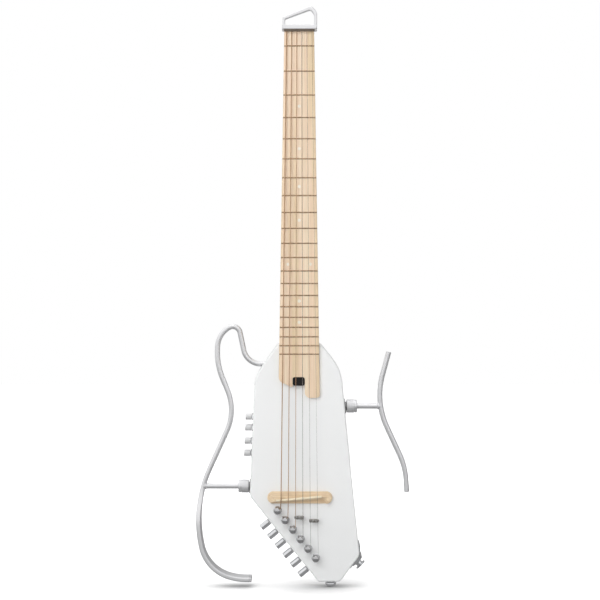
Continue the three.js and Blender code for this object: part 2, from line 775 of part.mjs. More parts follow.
// Tube through points: a ring of sides at each, square to the mean of the two directions there
function tube(points, radiusAt, sides) {
  const rings = [];
  let side = new THREE.Vector3(0, 1, 0);
  points.forEach((point, i) => {
    const before = points[Math.max(i - 1, 0)];
    const after = points[Math.min(i + 1, points.length - 1)];
    const direction = after.clone().sub(before).normalize();
    if (Math.abs(side.dot(direction)) > 0.9) side = new THREE.Vector3(1, 0, 0);
    side = side.clone().addScaledVector(direction, -side.dot(direction)).normalize();
    const other = direction.clone().cross(side);
    const ring = [];
    for (let s = 0; s < sides; s += 1) {
      const angle = (2 * Math.PI * s) / sides;
      const out = side.clone().multiplyScalar(Math.cos(angle)).addScaledVector(other, Math.sin(angle));
      ring.push(point.clone().addScaledVector(out, radiusAt(i)));
    }
    rings.push(ring);
  });
  return loft(rings);
}

// Shortest distance between turns of one winding that lie at least half a turn apart
function leastGap(points, diameter) {
  let least = Infinity;
  for (let i = 0; i < points.length; i += 1) {
    for (let j = i + wrapSteps - 2; j < points.length; j += 1) {
      least = Math.min(least, points[i].distanceTo(points[j]) - diameter);
    }
  }
  return least;
}

function makeString(i) {
  const gauge = stringGauges[i];
  const points = stringPoints(i);
  const ballEnd = points[0].clone().setZ(points[0].z - ballLength);
  const ball = rod(ballRadius, points[0].toArray(), ballEnd.toArray(), 8);
  const line = tube(points, () => gauge / 2, stringSides);
  const finish = i < woundStrings ? "bronzeString" : "plainString";
  return piece(`string_${i + 1}`, join(line, ball), finish);
}

// One tuner, built round its post: local X runs along the body's edge, local Z inward from it
const shaftX = gear.pitchRadius + gear.wormRadius;
const toothPitch = (2 * Math.PI * gear.pitchRadius) / gear.teeth;
const gearModule = (2 * gear.pitchRadius) / gear.teeth;
const addendum = toothShares.tip * gearModule;
const dedendum = toothShares.root * gearModule;
const flank = Math.tan(radians(flankAngle));
const toothHalf = (toothShares.wide * toothPitch) / 2;
const leadAngle = Math.atan(toothPitch / (2 * Math.PI * gear.wormRadius));

function makeTunerFrame(i) {
  const back = tuner.shelf + seam;
  const top = back + plate.thickness;
  const width = plate.halfWidth;
  const base = box(-plate.before, plate.after, back, top, -width, width);
  const inner = gear.pitchRadius + addendum + plate.earGap;
  const earRound = gear.wormRadius + addendum;
  const ears = [inner, -inner - plate.ear].map((z) => {
    const ear = new THREE.Shape();
    ear.moveTo(shaftX + earRound, mid(back, top));
    ear.absarc(shaftX, gear.depth, earRound, 0, Math.PI);
    ear.lineTo(shaftX - earRound, mid(back, top));
    const settings = { depth: plate.ear, curveSegments: earSteps, bevelEnabled: false };
    const geometry = new THREE.ExtrudeGeometry(ear, settings);
    geometry.translate(0, 0, z);
    return geometry;
  });
  const flangeFront = -seam - bushing.flangeHeight;
  const sleeve = rod(bushing.radius, [0, mid(-seam, flangeFront), 0], [0, mid(back, top), 0], 10);
  const flange = rod(bushing.flange, [0, -seam, 0], [0, flangeFront, 0], 12);
  const postHole = rod(post.shaft + running, [0, -overrun, 0], [0, top + overrun, 0], 10);
  const reach = inner + overrun;
  const shaftHole = rod(knob.shaft + running, [shaftX, gear.depth, -reach], [shaftX, gear.depth, reach], 8);
  const made = cut(join(base, ...ears, sleeve, flange), postHole, shaftHole);
  return piece(`tuner_frame_${i + 1}`, made, "chrome");
}

function makePost(i) {
  const wheelFront = gear.depth - gear.thickness / 2 - seam;
  const wheelBack = gear.depth + gear.thickness / 2 + seam;
  const profile = [
    [0, -post.height],
    ...domeShares.map(([out, down]) => [out * post.cap, (down - 1) * post.height]),
    [post.waist, -post.waistTo],
    [post.waist, -post.waistFrom],
    [post.flange, -post.waistFrom],
    [post.flange, -post.lower],
    [post.shaft, -post.lower],
    [post.shaft, wheelFront],
    [wheelSeat, wheelFront],
    [wheelSeat, wheelBack + wheelSeat],
    [0, wheelBack + wheelSeat],
  ];
  return piece(`tuner_post_${i + 1}`, turned(profile, 10), "chrome");
}

function gearRing(y, twist) {
  const tip = gear.pitchRadius + addendum;
  const root = gear.pitchRadius - dedendum;
  const tipHalf = (toothHalf - addendum * flank) / tip;
  const rootHalf = (toothHalf + dedendum * flank) / root;
  const ring = [];
  for (let t = 0; t < gear.teeth; t += 1) {
    const middle = (2 * Math.PI * t) / gear.teeth + twist;
    for (const [radius, angle] of [[root, -rootHalf], [tip, -tipHalf], [tip, tipHalf], [root, rootHalf]]) {
      ring.push(new THREE.Vector3(radius * Math.cos(middle + angle), y, radius * Math.sin(middle + angle)));
    }
  }
  return ring;
}

// The worm wheel's teeth lean by the worm's lead angle
function makeWheel(i) {
  const half = gear.thickness / 2;
  const lean = (half * Math.tan(leadAngle)) / gear.pitchRadius;
  const blank = loft([gearRing(gear.depth - half, lean), gearRing(gear.depth + half, -lean)]);
  const [front, back] = [gear.depth - gear.thickness, gear.depth + gear.thickness];
  const bore = rod(wheelSeat + seam, [0, front, 0], [0, back, 0], 8);
  return piece(`tuner_wheel_${i + 1}`, cut(blank, bore), "brass");
}

// Worm thread: a tapered ridge wound round the shaft, sunk a little into it
function wormThread() {
  const tip = gear.wormRadius + addendum;
  const root = gear.wormRadius - dedendum;
  const sunk = root - seam;
  const tipHalf = toothHalf - addendum * flank;
  const sunkHalf = toothHalf + (gear.wormRadius - sunk) * flank;
  const rings = [];
  const steps = wormTurns * wormSteps;
  for (let s = 0; s <= steps; s += 1) {
    const turn = s / wormSteps - wormTurns / 2;
    const angle = 2 * Math.PI * turn;
    const z = toothPitch * turn + toothPitch / 2;
    const ease = Math.min(1, (Math.min(s, steps - s) + 1) / 3);
    const height = sunk + (tip - sunk) * ease;
    const [across, deep] = [-Math.cos(angle), Math.sin(angle)];
    const at = (radius, shift) => new THREE.Vector3(radius * across, radius * deep, z + shift);
    rings.push([at(sunk, -sunkHalf), at(height, -tipHalf), at(height, tipHalf), at(sunk, sunkHalf)]);
  }
  return loft(rings);
}

function makeKnob(i) {
  const root = gear.wormRadius - dedendum;
  const inner = gear.pitchRadius + addendum + plate.earGap;
  const wormEnd = inner - 2 * seam;
  const headStart = -tuner.inset - knob.off;
  const headEnd = headStart - knob.length;
  const tail = inner + plate.ear + 2 * seam;
  const sleeveStart = -inner - plate.ear - seam;
  const axle = [
    [0, headStart - knob.chamfer],
    [knob.sleeve, headStart - knob.chamfer],
    [knob.sleeve, sleeveStart],
    [knob.shaft, sleeveStart],
    [knob.shaft, -wormEnd],
    [root, -wormEnd],
    [root, wormEnd],
    [knob.shaft, wormEnd],
    [knob.shaft, tail],
    [0, tail],
  ];
  const grip = [
    [0, headEnd],
    [knob.radius - knob.chamfer, headEnd],
    [knob.radius, headEnd + knob.chamfer],
    [knob.radius, headStart - knob.chamfer],
    [knob.radius - knob.chamfer, headStart],
    [0, headStart],
  ];
  const whole = join(alongZ(turned(axle, wormSteps)), wormThread(), alongZ(turned(grip, 12)));
  whole.translate(shaftX, gear.depth, 0);
  return piece(`tuner_knob_${i + 1}`, whole, "chrome");
}

function makeTuners() {
  const row = new THREE.Group();
  for (let i = 0; i < tuner.count; i += 1) {
    const one = new THREE.Group();
    one.position.copy(postPlace(i));
    one.rotation.y = edgeAngle;
    one.add(makeTunerFrame(i), makePost(i), makeWheel(i), makeKnob(i));
    row.add(one);
  }
  return row;
}

// String trees
function makeTree(which) {
  const { between, z } = trees[which];
  const spot = [between, between + 1].map((i) => {
    const from = saddleString(i);
    const to = wrapPoints(i)[0];
    return from.x + ((to.x - from.x) * (from.z - z)) / (from.z - to.z);
  });
  const x = mid(...spot);
  const halfL = tree.length / 2;
  const halfW = tree.width / 2;
  const shape = roundedBox(x - halfL, x + halfL, z - halfW, z + halfW, halfW / 2);
  const bar = slab(shape, -tree.under - tree.thickness, -tree.under, tree.thickness / 4, 1, 1);
  const stem = rod(tree.stem, [x, -tree.under - tree.thickness / 2, z], [x, -seam, z], 8);
  return piece(`string_tree_${which + 1}`, join(bar, stem), "chrome");
}

// Side controls, the circuit board that carries their pots, the cell and the cover plate
function makeControlKnob(i) {
  const z = controlZ(i);
  const start = leftSideX(z) - controls.off;
  const profile = [
    [0, cavityLeft + pot.canLength / 2],
    [controlShaft, cavityLeft + pot.canLength / 2],
    [controlShaft, start],
    [controls.radius - seam, start],
    [controls.radius, start - seam],
    [controls.radius, start - controls.length + 2 * seam],
    [controls.radius - 2 * seam, start - controls.length],
    [0, start - controls.length],
  ];
  const shaped = alongX(turned(profile.reverse(), 12));
  shaped.translate(0, sideDepth, z);
  return piece(`control_knob_${i + 1}`, shaped, "satinSilver");
}

function makeControlBoard() {
  const canBack = cavityLeft + seam + pot.canLength;
  const top = controlZ(0) + circuit.endMargin;
  const bottom = controlZ(controls.steps.length) - circuit.endMargin;
  const [front, back] = [sideDepth - circuit.halfDepth, sideDepth + circuit.halfDepth];
  const sheet = box(canBack, canBack + circuit.thickness, front, back, bottom, top);
  const parts = [sheet];
  const holes = [];
  for (let i = 0; i <= controls.steps.length; i += 1) {
    const z = controlZ(i);
    const side = leftSideX(z);
    const bar = (radius, from, to, sides) => rod(radius, [from, sideDepth, z], [to, sideDepth, z], sides);
    const nutFront = side - seam - pot.nutHeight;
    parts.push(bar(pot.can, cavityLeft + seam, canBack + circuit.thickness / 2, 10));
    parts.push(bar(pot.bush, nutFront, cavityLeft + 2 * seam, 8));
    parts.push(bar(pot.nut, nutFront, side - seam, 6));
    const boreEnd = cavityLeft + pot.canLength / 2 + running;
    holes.push(bar(controlShaft + running, side - overrun, boreEnd, 8));
  }
  return piece("control_board", cut(join(...parts), ...holes), "circuitGreen");
}

function makeBattery() {
  const front = cavity.front + seam;
  const halfW = cell.width / 2;
  const halfL = cell.length / 2;
  const shape = roundedBox(cell.x - halfW, cell.x + halfW, cell.z - halfL, cell.z + halfL, cell.round);
  return piece("battery", slab(shape, front, front + cell.depth), "black");
}

function makeLid() {
  const edge = lid.ledge - seam;
  const { right, bottom, top } = cavity;
  const shape = roundedBox(cavityLeft - edge, right + edge, bottom - edge, top + edge, lid.round - seam);
  return piece("back_cover", slab(shape, bodyThickness - lid.thickness, bodyThickness), "black");
}

// Centre line of a bent frame: its plug, then each straight and arc in turn
function bendLine(frame) {
  const at = new THREE.Vector3(frame.startX, sideDepth, frame.startZ);
  let heading = radians(frame.headingAngle);
  const ahead = () => new THREE.Vector3(Math.cos(heading), 0, Math.sin(heading));
  const step = (length) => at.add(ahead().multiplyScalar(length));
  const line = [];
  const mark = () => line.push({ at: at.clone(), heading });
  mark();
  if (frame.plug) {
    step(frame.plug);
    mark();
  }
  for (const { straight, radius, turnAngle } of frame.bends) {
    if (straight) {
      step(straight);
      mark();
    }
    const swept = Math.abs(radians(turnAngle));
    const steps = radius ? Math.ceil(swept / (2 * Math.acos(1 - bendSag / radius))) : 0;
    for (let s = 0; s < steps; s += 1) {
      const part = radians(turnAngle) / steps;
      const chord = 2 * radius * Math.sin(Math.abs(part) / 2);
      heading += part / 2;
      step(chord);
      heading += part / 2;
      mark();
    }
  }
  return line;
}

function halfDepthAt(frame, z) {
  if (!frame.restHalfDepth) return tubeRadius;
  if (z > frame.flattenFrom) return tubeRadius;
  const share = THREE.MathUtils.smoothstep(frame.flattenFrom - z, 0, frame.flattenFrom - frame.flattenTo);
  return tubeRadius + (frame.restHalfDepth - tubeRadius) * share;
}

// Ring of the tube at one mark: round, or drawn out in depth with full rounded sides
function tubeRing({ at, heading }, halfDepth, share = 1) {
  const bend = 1 / (1 + restSquare * Math.min(1, (halfDepth - tubeRadius) / tubeRadius));
  const ring = [];
  for (let s = 0; s < tubeSides; s += 1) {
    const angle = (2 * Math.PI * (s + 1 / 2)) / tubeSides;
    const across = tubeRadius * share * Math.sign(Math.cos(angle)) * Math.abs(Math.cos(angle)) ** bend;
    const deep = halfDepth * share * Math.sign(Math.sin(angle)) * Math.abs(Math.sin(angle)) ** bend;
    const offset = new THREE.Vector3(-Math.sin(heading) * across, deep, Math.cos(heading) * across);
    ring.push(offset.add(at));
  }
  return ring;
}

function moved(mark, distance) {
  const shift = new THREE.Vector3(Math.cos(mark.heading), 0, Math.sin(mark.heading)).multiplyScalar(distance);
  return { at: mark.at.clone().add(shift), heading: mark.heading };
}

function frameBlank(frame) {
  const line = bendLine(frame);
  const rings = line.map((mark) => tubeRing(mark, halfDepthAt(frame, mark.at.z)));
  const tip = line.at(-1);
  const depth = halfDepthAt(frame, tip.at.z);
  const holeEnds = [moved(tip, -capSpigot - seam), moved(tip, overrun)];
  const hole = loft(holeEnds.map((mark) => tubeRing(mark, depth, capShare)));
  return { line, geometry: cut(loft(rings), hole), tip, depth };
}

function makeCap(name, frame) {
  const { tip, depth } = frame;
  const shell = loft([
    tubeRing(moved(tip, seam), depth),
    tubeRing(moved(tip, seam + capLength * capTaperShares[0]), depth),
    tubeRing(moved(tip, seam + capLength), depth, capTaperShares[1]),
  ]);
  const spigotShare = capShare - seam / tubeRadius;
  const spigotEnds = [moved(tip, -capSpigot), moved(tip, 2 * seam)];
  const spigot = loft(spigotEnds.map((mark) => tubeRing(mark, depth, spigotShare)));
  return piece(name, join(shell, spigot), "satinSilver");
}

// Where the frame's centre line crosses a height, on its stretch beside the body
function lineX(line, z) {
  for (let i = line.length - 1; i > 0; i -= 1) {
    const [a, b] = [line[i - 1].at, line[i].at];
    if (b.z <= z && z <= a.z) return a.x + ((b.x - a.x) * (z - a.z)) / (b.z - a.z);
  }
  return line.at(-1).at.x;
}

const leftSocketEnd = leftSideX(strut.left) + strut.inside + socket.end;
const rightSocketEnd = rightSideX(strut.right) - strut.inside - socket.end;

function makeFrames() {
  const left = frameBlank(leftFrame);
  const right = frameBlank(rightFrame);
  const leftInner = leftSideX(strut.left) + strut.inside - seam;
  const rightInner = rightSideX(strut.right) - strut.inside + seam;
  const bar = (from, to, z) => rod(strut.radius, [from, sideDepth, z], [to, sideDepth, z]);
  const leftBar = bar(lineX(left.line, strut.left), leftInner, strut.left);
  const rightBar = bar(lineX(right.line, strut.right), rightInner, strut.right);
  return [
    piece("left_frame", join(left.geometry, leftBar), "satinSilver"),
    makeCap("left_end_cap", left),
    piece("right_frame", join(right.geometry, rightBar), "satinSilver"),
    makeCap("right_end_cap", right),
  ];
}

// Sockets that the struts slide into, and the collars that screw onto them
function makeSocket(name, side, lean, z, sign, inner) {
  const face = side + sign * seam;
  const threadEnd = face + sign * (socket.flangeHeight + socket.thread);
  const barrel = rod(socket.radius, [inner, sideDepth, z], [threadEnd, sideDepth, z], 14);
  const flange = rod(socket.flange, [0, 0, 0], [sign * socket.flangeHeight, 0, 0], 16);
  flange.rotateY(lean);
  flange.translate(face, sideDepth, z);
  const boreStart = [inner + sign * socket.end, sideDepth, z];
  const bore = rod(strut.radius + running, boreStart, [threadEnd + sign * overrun, sideDepth, z], 12);
  return piece(name, cut(join(barrel, flange), bore), "steel");
}

// A collar clears the flange, which leans with the body's side
function makeCollar(name, side, lean, z, sign) {
  const start = socket.flangeHeight + running + collar.radius * Math.abs(Math.tan(lean));
  const end = start + collar.length;
  const thread = socket.radius + running;
  const shoulder = socket.flangeHeight + socket.thread + 2 * seam;
  const ringAt = end - collar.ring;
  const profile = [
    [thread, start],
    [collar.radius - collar.chamfer, start],
    [collar.radius, start + collar.chamfer],
    [collar.radius, ringAt - collar.groove],
    [collar.radius - collar.groove, ringAt - collar.groove / 2],
    [collar.radius - collar.groove, ringAt + collar.groove / 2],
    [collar.radius - collar.groove / 2, ringAt + collar.groove],
    [collar.radius - collar.groove / 2, end - collar.chamfer],
    [collar.radius - collar.chamfer - collar.groove / 2, end],
    [collar.throat, end],
    [collar.throat, shoulder],
    [thread, shoulder],
    [thread, start],
  ];
  const shaped = alongX(turned(profile, 16));
  if (sign < 0) shaped.rotateY(Math.PI);
  shaped.translate(side + sign * seam, sideDepth, z);
  return piece(name, shaped, "satinSilver");
}

function makeCouplers() {
  const leftSide = leftSideX(strut.left);
  const rightSide = rightSideX(strut.right);
  const leftLean = leanOf(corners.shoulderLeft, corners.waistLeft);
  const rightLean = leanOf(corners.shoulderRight, corners.hipRight);
  return [
    makeSocket("left_socket", leftSide, leftLean, strut.left, -1, leftSocketEnd),
    makeSocket("right_socket", rightSide, rightLean, strut.right, 1, rightSocketEnd),
    makeCollar("left_collar", leftSide, leftLean, strut.left, -1),
    makeCollar("right_collar", rightSide, rightLean, strut.right, 1),
  ];
}

// Bush in the body's shoulder for the left frame's upper plug, cut flush with the outline
const upperBore = tubeRadius + running + socket.wall;
const upperEnd = leftFrame.startX + socket.end + seam;

function makeUpperSocket() {
  const { startX, startZ } = leftFrame;
  const outside = corners.shoulderLeft.x - overrun;
  const bar = rod(upperBore, [corners.shoulderLeft.x, sideDepth, startZ], [upperEnd, sideDepth, startZ]);
  const flush = common(bar, slab(bodyOutline(), 0, bodyThickness, 0, 1, outlineSteps));
  const bore = rod(tubeRadius + running, [outside, sideDepth, startZ], [startX + seam, sideDepth, startZ]);
  return piece("upper_socket", cut(flush, bore), "steel");
}

// Lower right strap button with the output jack, on a plate that hugs the body's corner
const hipEdge = new THREE.Vector2(corners.footRight.x, corners.footRight.z)
  .sub(new THREE.Vector2(corners.hipRight.x, corners.hipRight.z))
  .normalize();

function jackPoint(out) {
  const foot = new THREE.Vector2(corners.hipRight.x, corners.hipRight.z).addScaledVector(hipEdge, jack.along);
  const angle = radians(jack.tiltAngle);
  return [foot.x + Math.cos(angle) * out, sideDepth, foot.y + Math.sin(angle) * out];
}

// The body's outline grown outward by a distance
function grownOutline(by) {
  const list = Object.values(corners);
  const lines = list.map((a, i) => {
    const b = list[(i + 1) % list.length];
    const direction = new THREE.Vector2(b.x - a.x, b.z - a.z).normalize();
    const out = new THREE.Vector2(-direction.y, direction.x).negate();
    return { point: new THREE.Vector2(a.x, a.z).addScaledVector(out, by), direction };
  });
  return roundedOutline(
    list.map((corner, i) => {
      const [p, q] = [lines.at(i - 1), lines[i]];
      const gap = q.point.clone().sub(p.point);
      const run = gap.cross(q.direction) / p.direction.cross(q.direction);
      const meet = p.point.clone().addScaledVector(p.direction, run);
      return [meet.x, meet.y, corner.round + by];
    }),
  );
}

function makeJackPlate() {
  const { hipRight } = corners;
  const deep = jackPlate.halfDepth;
  const outside = grownOutline(seam + jackPlate.thickness);
  const shell = slab(outside, sideDepth - deep, sideDepth + deep, 0, 1, outlineSteps);
  const low = new THREE.Vector2(hipRight.x, hipRight.z).addScaledVector(hipEdge, jackPlate.along);
  const reach = jackPlate.along;
  const region = slab(
    roundedOutline([
      [hipRight.x - reach, hipRight.z + jackPlate.up, 0],
      [hipRight.x + reach, hipRight.z + jackPlate.up, 0],
      [hipRight.x + reach, low.y, 0],
      [low.x - jackPlate.thickness, low.y, 0],
    ]),
    -overrun,
    bodyThickness + overrun,
  );
  const { base, seat, seatHeight } = jackPlate;
  const profile = [
    [0, -base],
    [base, -base],
    [base, 0],
    [seat, seatHeight],
    [0, seatHeight],
  ];
  const boss = alongX(turned(profile, 20));
  boss.rotateY(-radians(jack.tiltAngle));
  boss.translate(...jackPoint(0));
  const bodyRoom = slab(grownOutline(seam), -overrun, bodyThickness + overrun, 0, 1, outlineSteps);
  const hole = rod(jackStem.radius + seam, jackPoint(-jackStem.length), jackPoint(jackStem.length), 12);
  return piece("jack_plate", cut(join(common(shell, region), boss), bodyRoom, hole), "chrome");
}

function makeStrapJack() {
  const seat = jackPlate.seatHeight + seam;
  const top = seat + jack.height;
  const rim = jack.flangeHeight / 4;
  const profile = [
    [0, seam - jackStem.length],
    [jackStem.radius, seam - jackStem.length],
    [jackStem.radius, seat],
    [jack.neck + rim, seat],
    [jack.neck, seat + rim],
    [jack.neck, top - jack.flangeHeight],
    [jack.flange, top - jack.flangeHeight + rim],
    [jack.flange, top - rim],
    [jack.flange - rim, top],
    [jack.bore, top],
    [jack.bore, top - jack.boreDepth],
    [0, top - jack.boreDepth],
  ];
  const mesh = piece("strap_jack", alongX(turned(profile, 14)), "chrome");
  mesh.rotation.y = -radians(jack.tiltAngle);
  mesh.position.set(...jackPoint(0));
  return mesh;
}

function makeBottomPin() {
  const base = corners.footRight.z - seam;
  const profile = [
    [0, base + pin.shankLength],
    [pin.shank, base + pin.shankLength],
    [pin.shank, base],
    [pin.flange - pin.rim, base],
    [pin.neck, base - pin.height / 3],
    [pin.neck, base - pin.height + pin.rim],
    [pin.flange, base - pin.height + pin.rim / 2],
    [pin.flange - pin.rim / 2, base - pin.height],
    [0, base - pin.height],
  ];
  const shaped = alongZ(turned(profile.reverse(), 14));
  shaped.translate(pin.x, sideDepth, 0);
  return piece("bottom_pin", shaped, "chrome");
}

// Highest point inside the loop, where a hook carries the guitar
function hangPoint() {
  const { leftX, shoulderZ, peakX, peakZ, peakRound, rightX, rightZ } = loopInner;
  const peak = new THREE.Vector2(peakX, peakZ);
  const left = new THREE.Vector2(leftX, shoulderZ).sub(peak).normalize();
  const right = new THREE.Vector2(rightX, rightZ).sub(peak).normalize();
  const half = Math.acos(left.dot(right)) / 2;
  const centre = peak.addScaledVector(left.add(right).normalize(), peakRound / Math.sin(half));
  return new THREE.Vector3(centre.x, head.front + head.loopDepth / 2, centre.y + peakRound);
}

// The whole guitar, hung so that the loop's inner top is the origin
const guitar = new THREE.Group();
guitar.add(
  makeBody(),
  makeNeck(),
  makeTrussRod(),
  makeFretboard(),
  makeTrussCover(),
  makeHead(),
  makeBridge(),
  makeSaddle(),
  makePickup(),
  makeTuners(),
  makeControlBoard(),
  makeBattery(),
  makeLid(),
  makeUpperSocket(),
  makeJackPlate(),
  makeStrapJack(),
  makeBottomPin(),
  ...makeCouplers(),
  ...makeFrames(),
);
for (let i = 0; i < stringGauges.length; i += 1) {
  guitar.add(makeString(i));
  const gap = leastGap(wrapPoints(i), stringGauges[i]);
  console.log(`string ${i + 1}: least gap between its turns ${gap.toFixed(2)} mm`);
}
for (let i = 0; i < trees.length; i += 1) guitar.add(makeTree(i));
for (let i = 0; i <= controls.steps.length; i += 1) guitar.add(makeControlKnob(i));
guitar.position.copy(hangPoint().negate());

const root = new THREE.Group();
root.add(guitar);
export default root;
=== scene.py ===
import math

import bmesh
import bpy
import numpy as np
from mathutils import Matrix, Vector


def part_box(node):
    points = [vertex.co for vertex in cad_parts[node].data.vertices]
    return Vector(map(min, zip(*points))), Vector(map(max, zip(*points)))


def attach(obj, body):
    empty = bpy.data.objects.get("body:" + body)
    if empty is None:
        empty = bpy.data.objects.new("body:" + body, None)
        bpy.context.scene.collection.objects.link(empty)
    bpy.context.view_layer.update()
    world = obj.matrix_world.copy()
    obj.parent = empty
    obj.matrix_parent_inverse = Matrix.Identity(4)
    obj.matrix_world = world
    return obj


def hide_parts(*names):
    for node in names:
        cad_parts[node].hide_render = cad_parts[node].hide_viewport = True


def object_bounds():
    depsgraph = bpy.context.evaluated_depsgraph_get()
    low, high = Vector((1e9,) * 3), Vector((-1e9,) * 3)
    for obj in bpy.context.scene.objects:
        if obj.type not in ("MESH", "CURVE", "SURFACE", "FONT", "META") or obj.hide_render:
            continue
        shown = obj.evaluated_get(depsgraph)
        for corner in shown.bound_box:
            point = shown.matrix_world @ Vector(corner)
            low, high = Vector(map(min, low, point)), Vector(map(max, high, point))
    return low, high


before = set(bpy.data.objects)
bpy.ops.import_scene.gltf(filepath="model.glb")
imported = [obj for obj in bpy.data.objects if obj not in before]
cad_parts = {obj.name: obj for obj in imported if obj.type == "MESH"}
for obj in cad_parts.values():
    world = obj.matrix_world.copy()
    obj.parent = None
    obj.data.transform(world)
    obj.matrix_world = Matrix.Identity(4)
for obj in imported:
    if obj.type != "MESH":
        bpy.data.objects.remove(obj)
cadLow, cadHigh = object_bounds()

# Sizes are in millimetres: X right, Y into the guitar from the body's front, Z up, from the zero fret's middle
mm = 0.001
guitar = {
    "scaleLength": 650,
    "frets": 20,
    "nutWidth": 44,
    "lastFretWidth": 58,
    "footZ": -775.4,  # lowest edge of the body
    "thickness": 45,  # of the body
    "sideDepth": 22.5,  # everything in the sides lies on this line
    "gap": 0.3,  # between pieces that are seated on each other
    "strings": [1.35, 1.07, 0.81, 0.61, 0.41, 0.33],  # diameters, left to right
    "nutSpread": 37,
    "bridgeSpread": 52.4,
    "boardFront": -6,
    "boardRadius": 305,
}
stringCount = len(guitar["strings"])
neckLow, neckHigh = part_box("neck")
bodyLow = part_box("body")[0]
zeroFret = np.array([(neckLow.x + neckHigh.x) / 2, bodyLow.y, bodyLow.z - guitar["footZ"] * mm])


def boxOf(node):
    # A frame node's two corners, in millimetres from the zero fret
    low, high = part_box(node)
    return (np.array(low) - zeroFret) / mm, (np.array(high) - zeroFret) / mm


def fretZ(n):
    # Each fret shortens the string by the twelfth root of two
    return -guitar["scaleLength"] * (1 - 2 ** (-np.asarray(n, float) / 12))


def halfWidth(z):
    # The neck widens evenly from the zero fret to the last fret
    widening = (guitar["lastFretWidth"] - guitar["nutWidth"]) / 2
    return guitar["nutWidth"] / 2 + widening * np.asarray(z, float) / fretZ(guitar["frets"])


def crownDrop(x):
    # Depth that a circle of the board's radius falls away at x
    return np.asarray(x, float) ** 2 / (2 * guitar["boardRadius"])


def unit(vector):
    # The same direction at length one
    return np.asarray(vector, float) / np.linalg.norm(vector)


def smoothStep(value, start, end):
    # Eases from 0 at start to 1 at end
    share = np.clip((np.asarray(value, float) - start) / (end - start), 0, 1)
    return share * share * (3 - 2 * share)


# Shells: closed surfaces as a pair of points and faces
mergeSize = 1e-6  # metres; closer points become one
poleSize = 1e-6  # millimetres; a ring smaller than this is a pole
flatSize = 1e-9  # a corner's bisector shorter than this has no direction
arcShare = 0.49  # of a side, for the arc at either of its ends


def turnedOut(points, faces):
    # Six times the enclosed volume is the sum of triple products over each face's fan; below zero is inside out
    fans = np.array([(f[0], f[k], f[k + 1]) for f in faces for k in range(1, len(f) - 1)])
    a, b, c = (points[fans[:, k]] for k in range(3))
    if np.einsum("ij,ij->", a, np.cross(b, c)) < 0:
        faces = [f[::-1] for f in faces]
    return points, faces


def ringFaces(here, there):
    # Quads from rows of point numbers to the rows that follow them, each row a closed ring
    return np.stack([here, np.roll(here, -1, 1), np.roll(there, -1, 1), there], -1).reshape(-1, 4).tolist()


def gridShell(grid, loop=False):
    # Closed rings, one for each row, joined by quads; the end rings are flat faces unless the rows loop
    rows, columns = grid.shape[:2]
    index = np.arange(rows * columns).reshape(rows, columns)
    faces = ringFaces(index, np.roll(index, -1, 0)) if loop else ringFaces(index[:-1], index[1:])
    points = grid.reshape(-1, 3)
    for ring in () if loop else (index[0][::-1], index[-1]):
        if np.ptp(points[ring], axis=0).max() > poleSize:
            faces.append(ring.tolist())
    return turnedOut(points, faces)


def roundedLine(corners, radii, grow=0.0, steps=5, closed=True):
    # Each corner becomes an arc that touches both of its sides; grow moves every side outward first
    corners = np.asarray(corners, float)
    radii = np.broadcast_to(np.asarray(radii, float), len(corners)).copy()
    before = np.roll(corners, 1, 0) - corners
    after = np.roll(corners, -1, 0) - corners
    if not closed:
        before[0], after[-1] = -after[0], -before[-1]
        radii[[0, -1]] = 0
    before /= np.linalg.norm(before, axis=1)[:, None]
    after /= np.linalg.norm(after, axis=1)[:, None]
    half = np.arccos(np.clip((before * after).sum(1), -1, 1)) / 2
    bend = np.sign(before[:, 0] * after[:, 1] - before[:, 1] * after[:, 0])
    bisector = before + after
    size = np.linalg.norm(bisector, axis=1)
    bisector /= np.where(size > flatSize, size, 1)[:, None]
    if grow:
        following = np.roll(corners, -1, 0)
        area = (corners[:, 0] * following[:, 1] - following[:, 0] * corners[:, 1]).sum()
        convex = -bend * np.sign(area)
        corners = corners - bisector * (convex * grow / np.sin(half))[:, None]
        radii = np.maximum(radii + convex * grow, 0)
    sides = np.linalg.norm(np.roll(corners, -1, 0) - corners, axis=1)
    if not closed:
        sides[-1] = sides[-2]
    shorter = np.minimum(sides, np.roll(sides, 1)) if closed else np.minimum(sides, np.r_[sides[0], sides[:-1]])
    reach = np.minimum(radii / np.tan(half), arcShare * shorter)
    radii = reach * np.tan(half)
    centre = corners + bisector * (radii / np.sin(half))[:, None]
    spoke = corners + before * reach[:, None] - centre
    angle = -bend[:, None] * (np.pi - 2 * half)[:, None] * np.linspace(0, 1, steps + 1)
    arcs = np.stack([
        spoke[:, None, 0] * np.cos(angle) - spoke[:, None, 1] * np.sin(angle),
        spoke[:, None, 0] * np.sin(angle) + spoke[:, None, 1] * np.cos(angle),
    ], -1)
    return (centre[:, None, :] + arcs).reshape(-1, 2)


def softLevels(low, high, lowEdge=0.0, highEdge=0.0, steps=4):
    # Heights and inward steps of a slab whose two rims are quarter circles
    angle = np.linspace(0, np.pi / 2, steps + 1)
    rims = []
    for level, edge in ((low, lowEdge), (high, -highEdge)):
        arc = [(level + edge * (1 - math.cos(a)), -abs(edge) * (1 - math.sin(a))) for a in angle]
        rims.append(arc if edge else [(level, 0)])
    return rims[0] + rims[1][::-1]


def standing(line, y):
    # A flat outline in the plane of X and Z, at one depth
    return np.stack([line[:, 0], np.full(len(line), float(y)), line[:, 1]], -1)


def slabShell(corners, radii, levels, steps=5, plane="xz"):
    # The rounded outline at each level, grown by that level's own amount, stacked along the third axis
    rings = [standing(roundedLine(corners, radii, grow, steps), level) for level, grow in levels]
    return gridShell(np.array(rings)[..., [0, 1, 2] if plane == "xz" else [0, 2, 1]])


